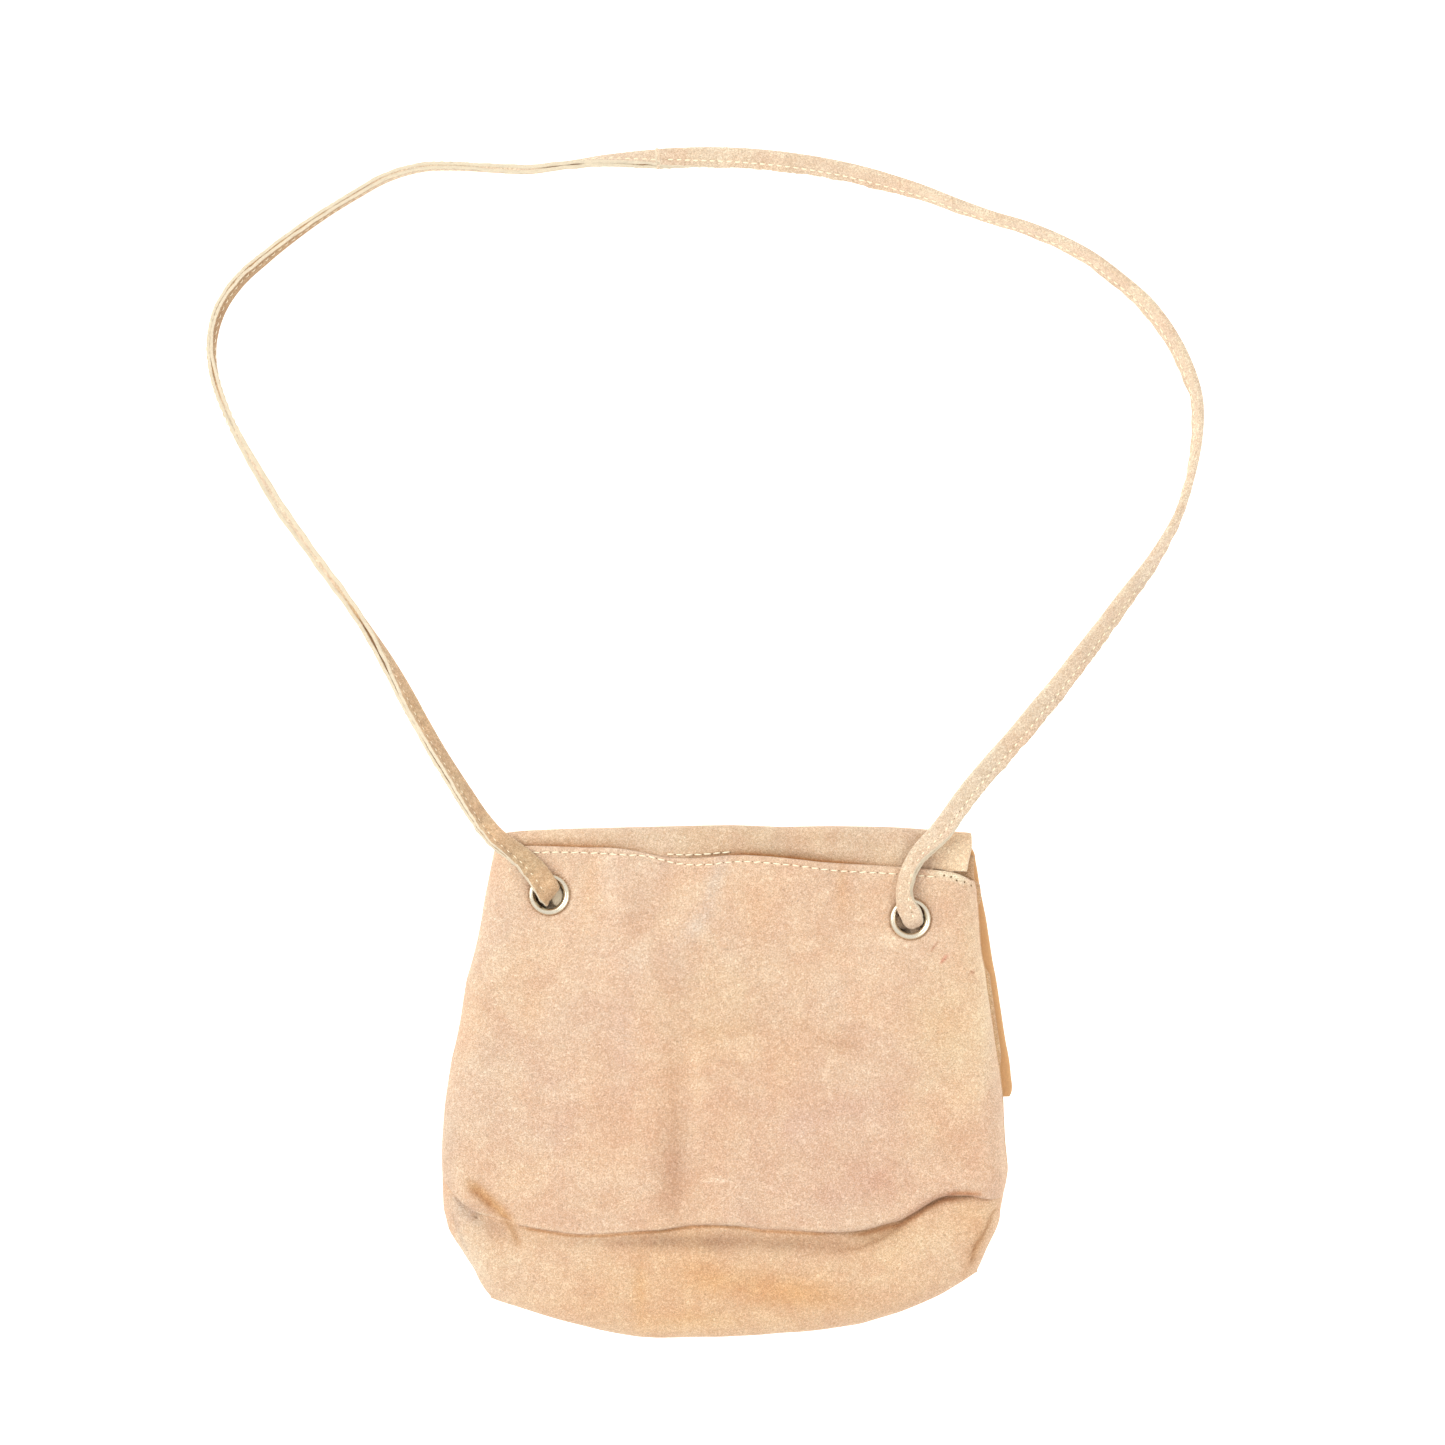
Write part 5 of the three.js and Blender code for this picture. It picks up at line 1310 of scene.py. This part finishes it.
# ------------------------------------------------------------------ eyelets
panel_top = 14.9
ring_profile = [(5.7, 11.5), (5.7, 14.6), (5.72, 15.0), (5.82, 15.38), (6.05, 15.72), (6.40, 15.98), (6.85, 16.10), (7.32, 16.02), (7.72, 15.80), (8.02, 15.46),
                (8.12, 15.10), (7.96, 14.86), (7.4, 14.84), (6.25, 14.86), (6.2, 14.7), (6.2, 12.1), (6.5, 12.02), (7.1, 12.0), (7.3, 11.8), (7.25, 11.45), (6.95, 11.2), (6.5, 11.15),
                (6.1, 11.15), (5.8, 11.25)]
washer_profile = [(6.5, 12.35), (6.5, 12.85), (6.56, 12.9), (8.2, 12.9), (8.3, 12.84), (8.3, 12.36), (8.24, 12.3), (6.56, 12.3)]
steps = 96
for side, c in EYELETS.items():
    ring = lathe(f"eyelet_{side}", ring_profile, c, steps, nickel_mat, sharp=(11, 12, 14))
    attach(ring, "bag"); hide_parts(f"{side}_eyelet")
    wash = lathe(f"washer_{side}", washer_profile, c, steps, nickel_mat, sharp=(1, 4))
    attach(wash, "bag"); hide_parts(f"{side}_eyelet_washer")


# ------------------------------------------------------------------ seams
def row_of(name, path, surface, pitch, length, radius, rise, lean, seed, nodes, mat=None, hole_r=0.34, down=False):
    """Stitches along a plan path, laid on a surface given by its height."""
    p = np.array(path, float)
    s = np.concatenate([[0], np.cumsum(np.hypot(np.diff(p[:, 0]), np.diff(p[:, 1])))])
    at = np.arange(pitch / 2, s[-1], pitch)

    def place(q):
        x = np.interp(q, s, p[:, 0]); y = np.interp(q, s, p[:, 1]); e = 0.4
        z = surface(x, y)
        nx = -(surface(x + e, y) - surface(x - e, y)) / (2 * e); ny = -(surface(x, y + e) - surface(x, y - e)) / (2 * e)
        n = np.stack([nx * 0.6, ny * 0.6, np.ones_like(x)], -1); n /= np.linalg.norm(n, axis=1, keepdims=True)
        return np.stack([x, y, z], -1), (-n if down else n)
    mid, up = place(at)
    a, _ = place(at - 0.3); b, _ = place(at + 0.3)
    t = b - a; t /= np.linalg.norm(t, axis=1, keepdims=True)
    t -= up * np.sum(up * t, axis=1, keepdims=True); t /= np.linalg.norm(t, axis=1, keepdims=True)
    ob = stitches(name, mid + up * 0.10, up, t, pitch, mat or thread_mat, length, radius, rise, lean, seed)
    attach(ob, "bag")
    if nodes:
        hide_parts(*nodes)
    if hole_r:
        gap, gup = place(at + pitch / 2)
        hb = holes(name + "_holes", gap + gup * 0.03, gup, hole_mat, hole_r)
        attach(hb, "bag")
    return ob


xs = np.linspace(-78, 84.0, 240)
hem_path = [(v, float(hem_row(v))) for v in xs]
row_of("hem_stitches", hem_path, rear_height, HEM_PITCH, 0.82, 0.31, 0.24, 0.20, 11, ["rear_hem_thread"], hole_r=0.30)
# at the right end the thread is sunk and only its needle holes show
end_xy = np.array(HEM_END_HOLES)
end_at = np.stack([end_xy[:, 0], end_xy[:, 1], rear_height(end_xy[:, 0], end_xy[:, 1]) + 0.02], -1)
end_dots = holes("hem_end_holes", end_at, np.tile((0.0, 0.0, 1.0), (len(end_at), 1)), hole_mat, 0.52)
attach(end_dots, "bag")


def strip_surface(x, y):
    return 12.9 + 0.0 * x


row_of("strip_stitches", [(v, float(top_at(v)) + 1.05) for v in np.linspace(-24.6, 2.4, 40)], strip_surface, 3.7, 0.80, 0.31, 0.20, 0.10, 12, ["flap_strip_thread"])
row_of("front_hem_stitches", [(v, 87.0) for v in np.linspace(-80, 86, 60)], lambda x, y: 3.1 + 0 * x, 3.8, 0.76, 0.36, 0.22, 0.1, 13, ["front_hem_thread"])
row_of("side_stitches_left", [(float(left_at(v)) + 3.4, v) for v in np.linspace(82, -40, 120)], lambda x, y: front_under(y) + SUEDE + 0 * x, 3.8, 0.7, 0.3, 0.2, 0.1, 14,
       ["left_side_seam_thread"], hole_r=0)
row_of("side_stitches_right", [(float(right_at(v)) - 3.4, v) for v in np.linspace(74, -38, 110)], lambda x, y: front_under(y) + SUEDE + 0 * x, 3.8, 0.7, 0.3, 0.2, 0.1, 15,
       ["right_side_seam_thread"], hole_r=0)
row_of("base_seam_stitches", [(v, float(seam_at(v)) + 4.2) for v in np.linspace(-86, 84, 160)], lambda x, y: rear_height(x, y) - SUEDE - 0.05, 3.8, 0.7, 0.3, 0.2, 0.1, 16,
       ["rear_base_seam_thread"], hole_r=0, down=True)
row_of("front_base_stitches", [(v, float(bottom_at(v)) + 5.4) for v in np.linspace(-80, 80, 120)], lambda x, y: front_under(y) + SUEDE + 0 * x, 3.8, 0.7, 0.3, 0.2, 0.1, 17,
       ["front_base_seam_thread"], hole_r=0)

# ------------------------------------------------------------------ floor
fm = bpy.data.meshes.new("floor")
fm.from_pydata([(-4, -4, -0.0002), (4, -4, -0.0002), (4, 4, -0.0002), (-4, 4, -0.0002)], [], [(0, 1, 2, 3)])
floor = bpy.data.objects.new("floor", fm)
scene.collection.objects.link(floor)
fmat, fnt, fb = material("floor_paper")
fb.inputs["Base Color"].default_value = (0.93, 0.93, 0.925, 1)
fb.inputs["Roughness"].default_value = 0.9
fb.inputs["Specular IOR Level"].default_value = 0.1
fb.inputs["Emission Color"].default_value = (1.0, 1.0, 1.0, 1)
fb.inputs["Emission Strength"].default_value = 0.55
fm.materials.append(fmat)

areas = {}
for ob in (rear, base, front, flap_upper, flap_lower):
    areas[ob.name] = round(sum(f.area for f in ob.data.polygons) / 2, 5)
print("areas", areas)
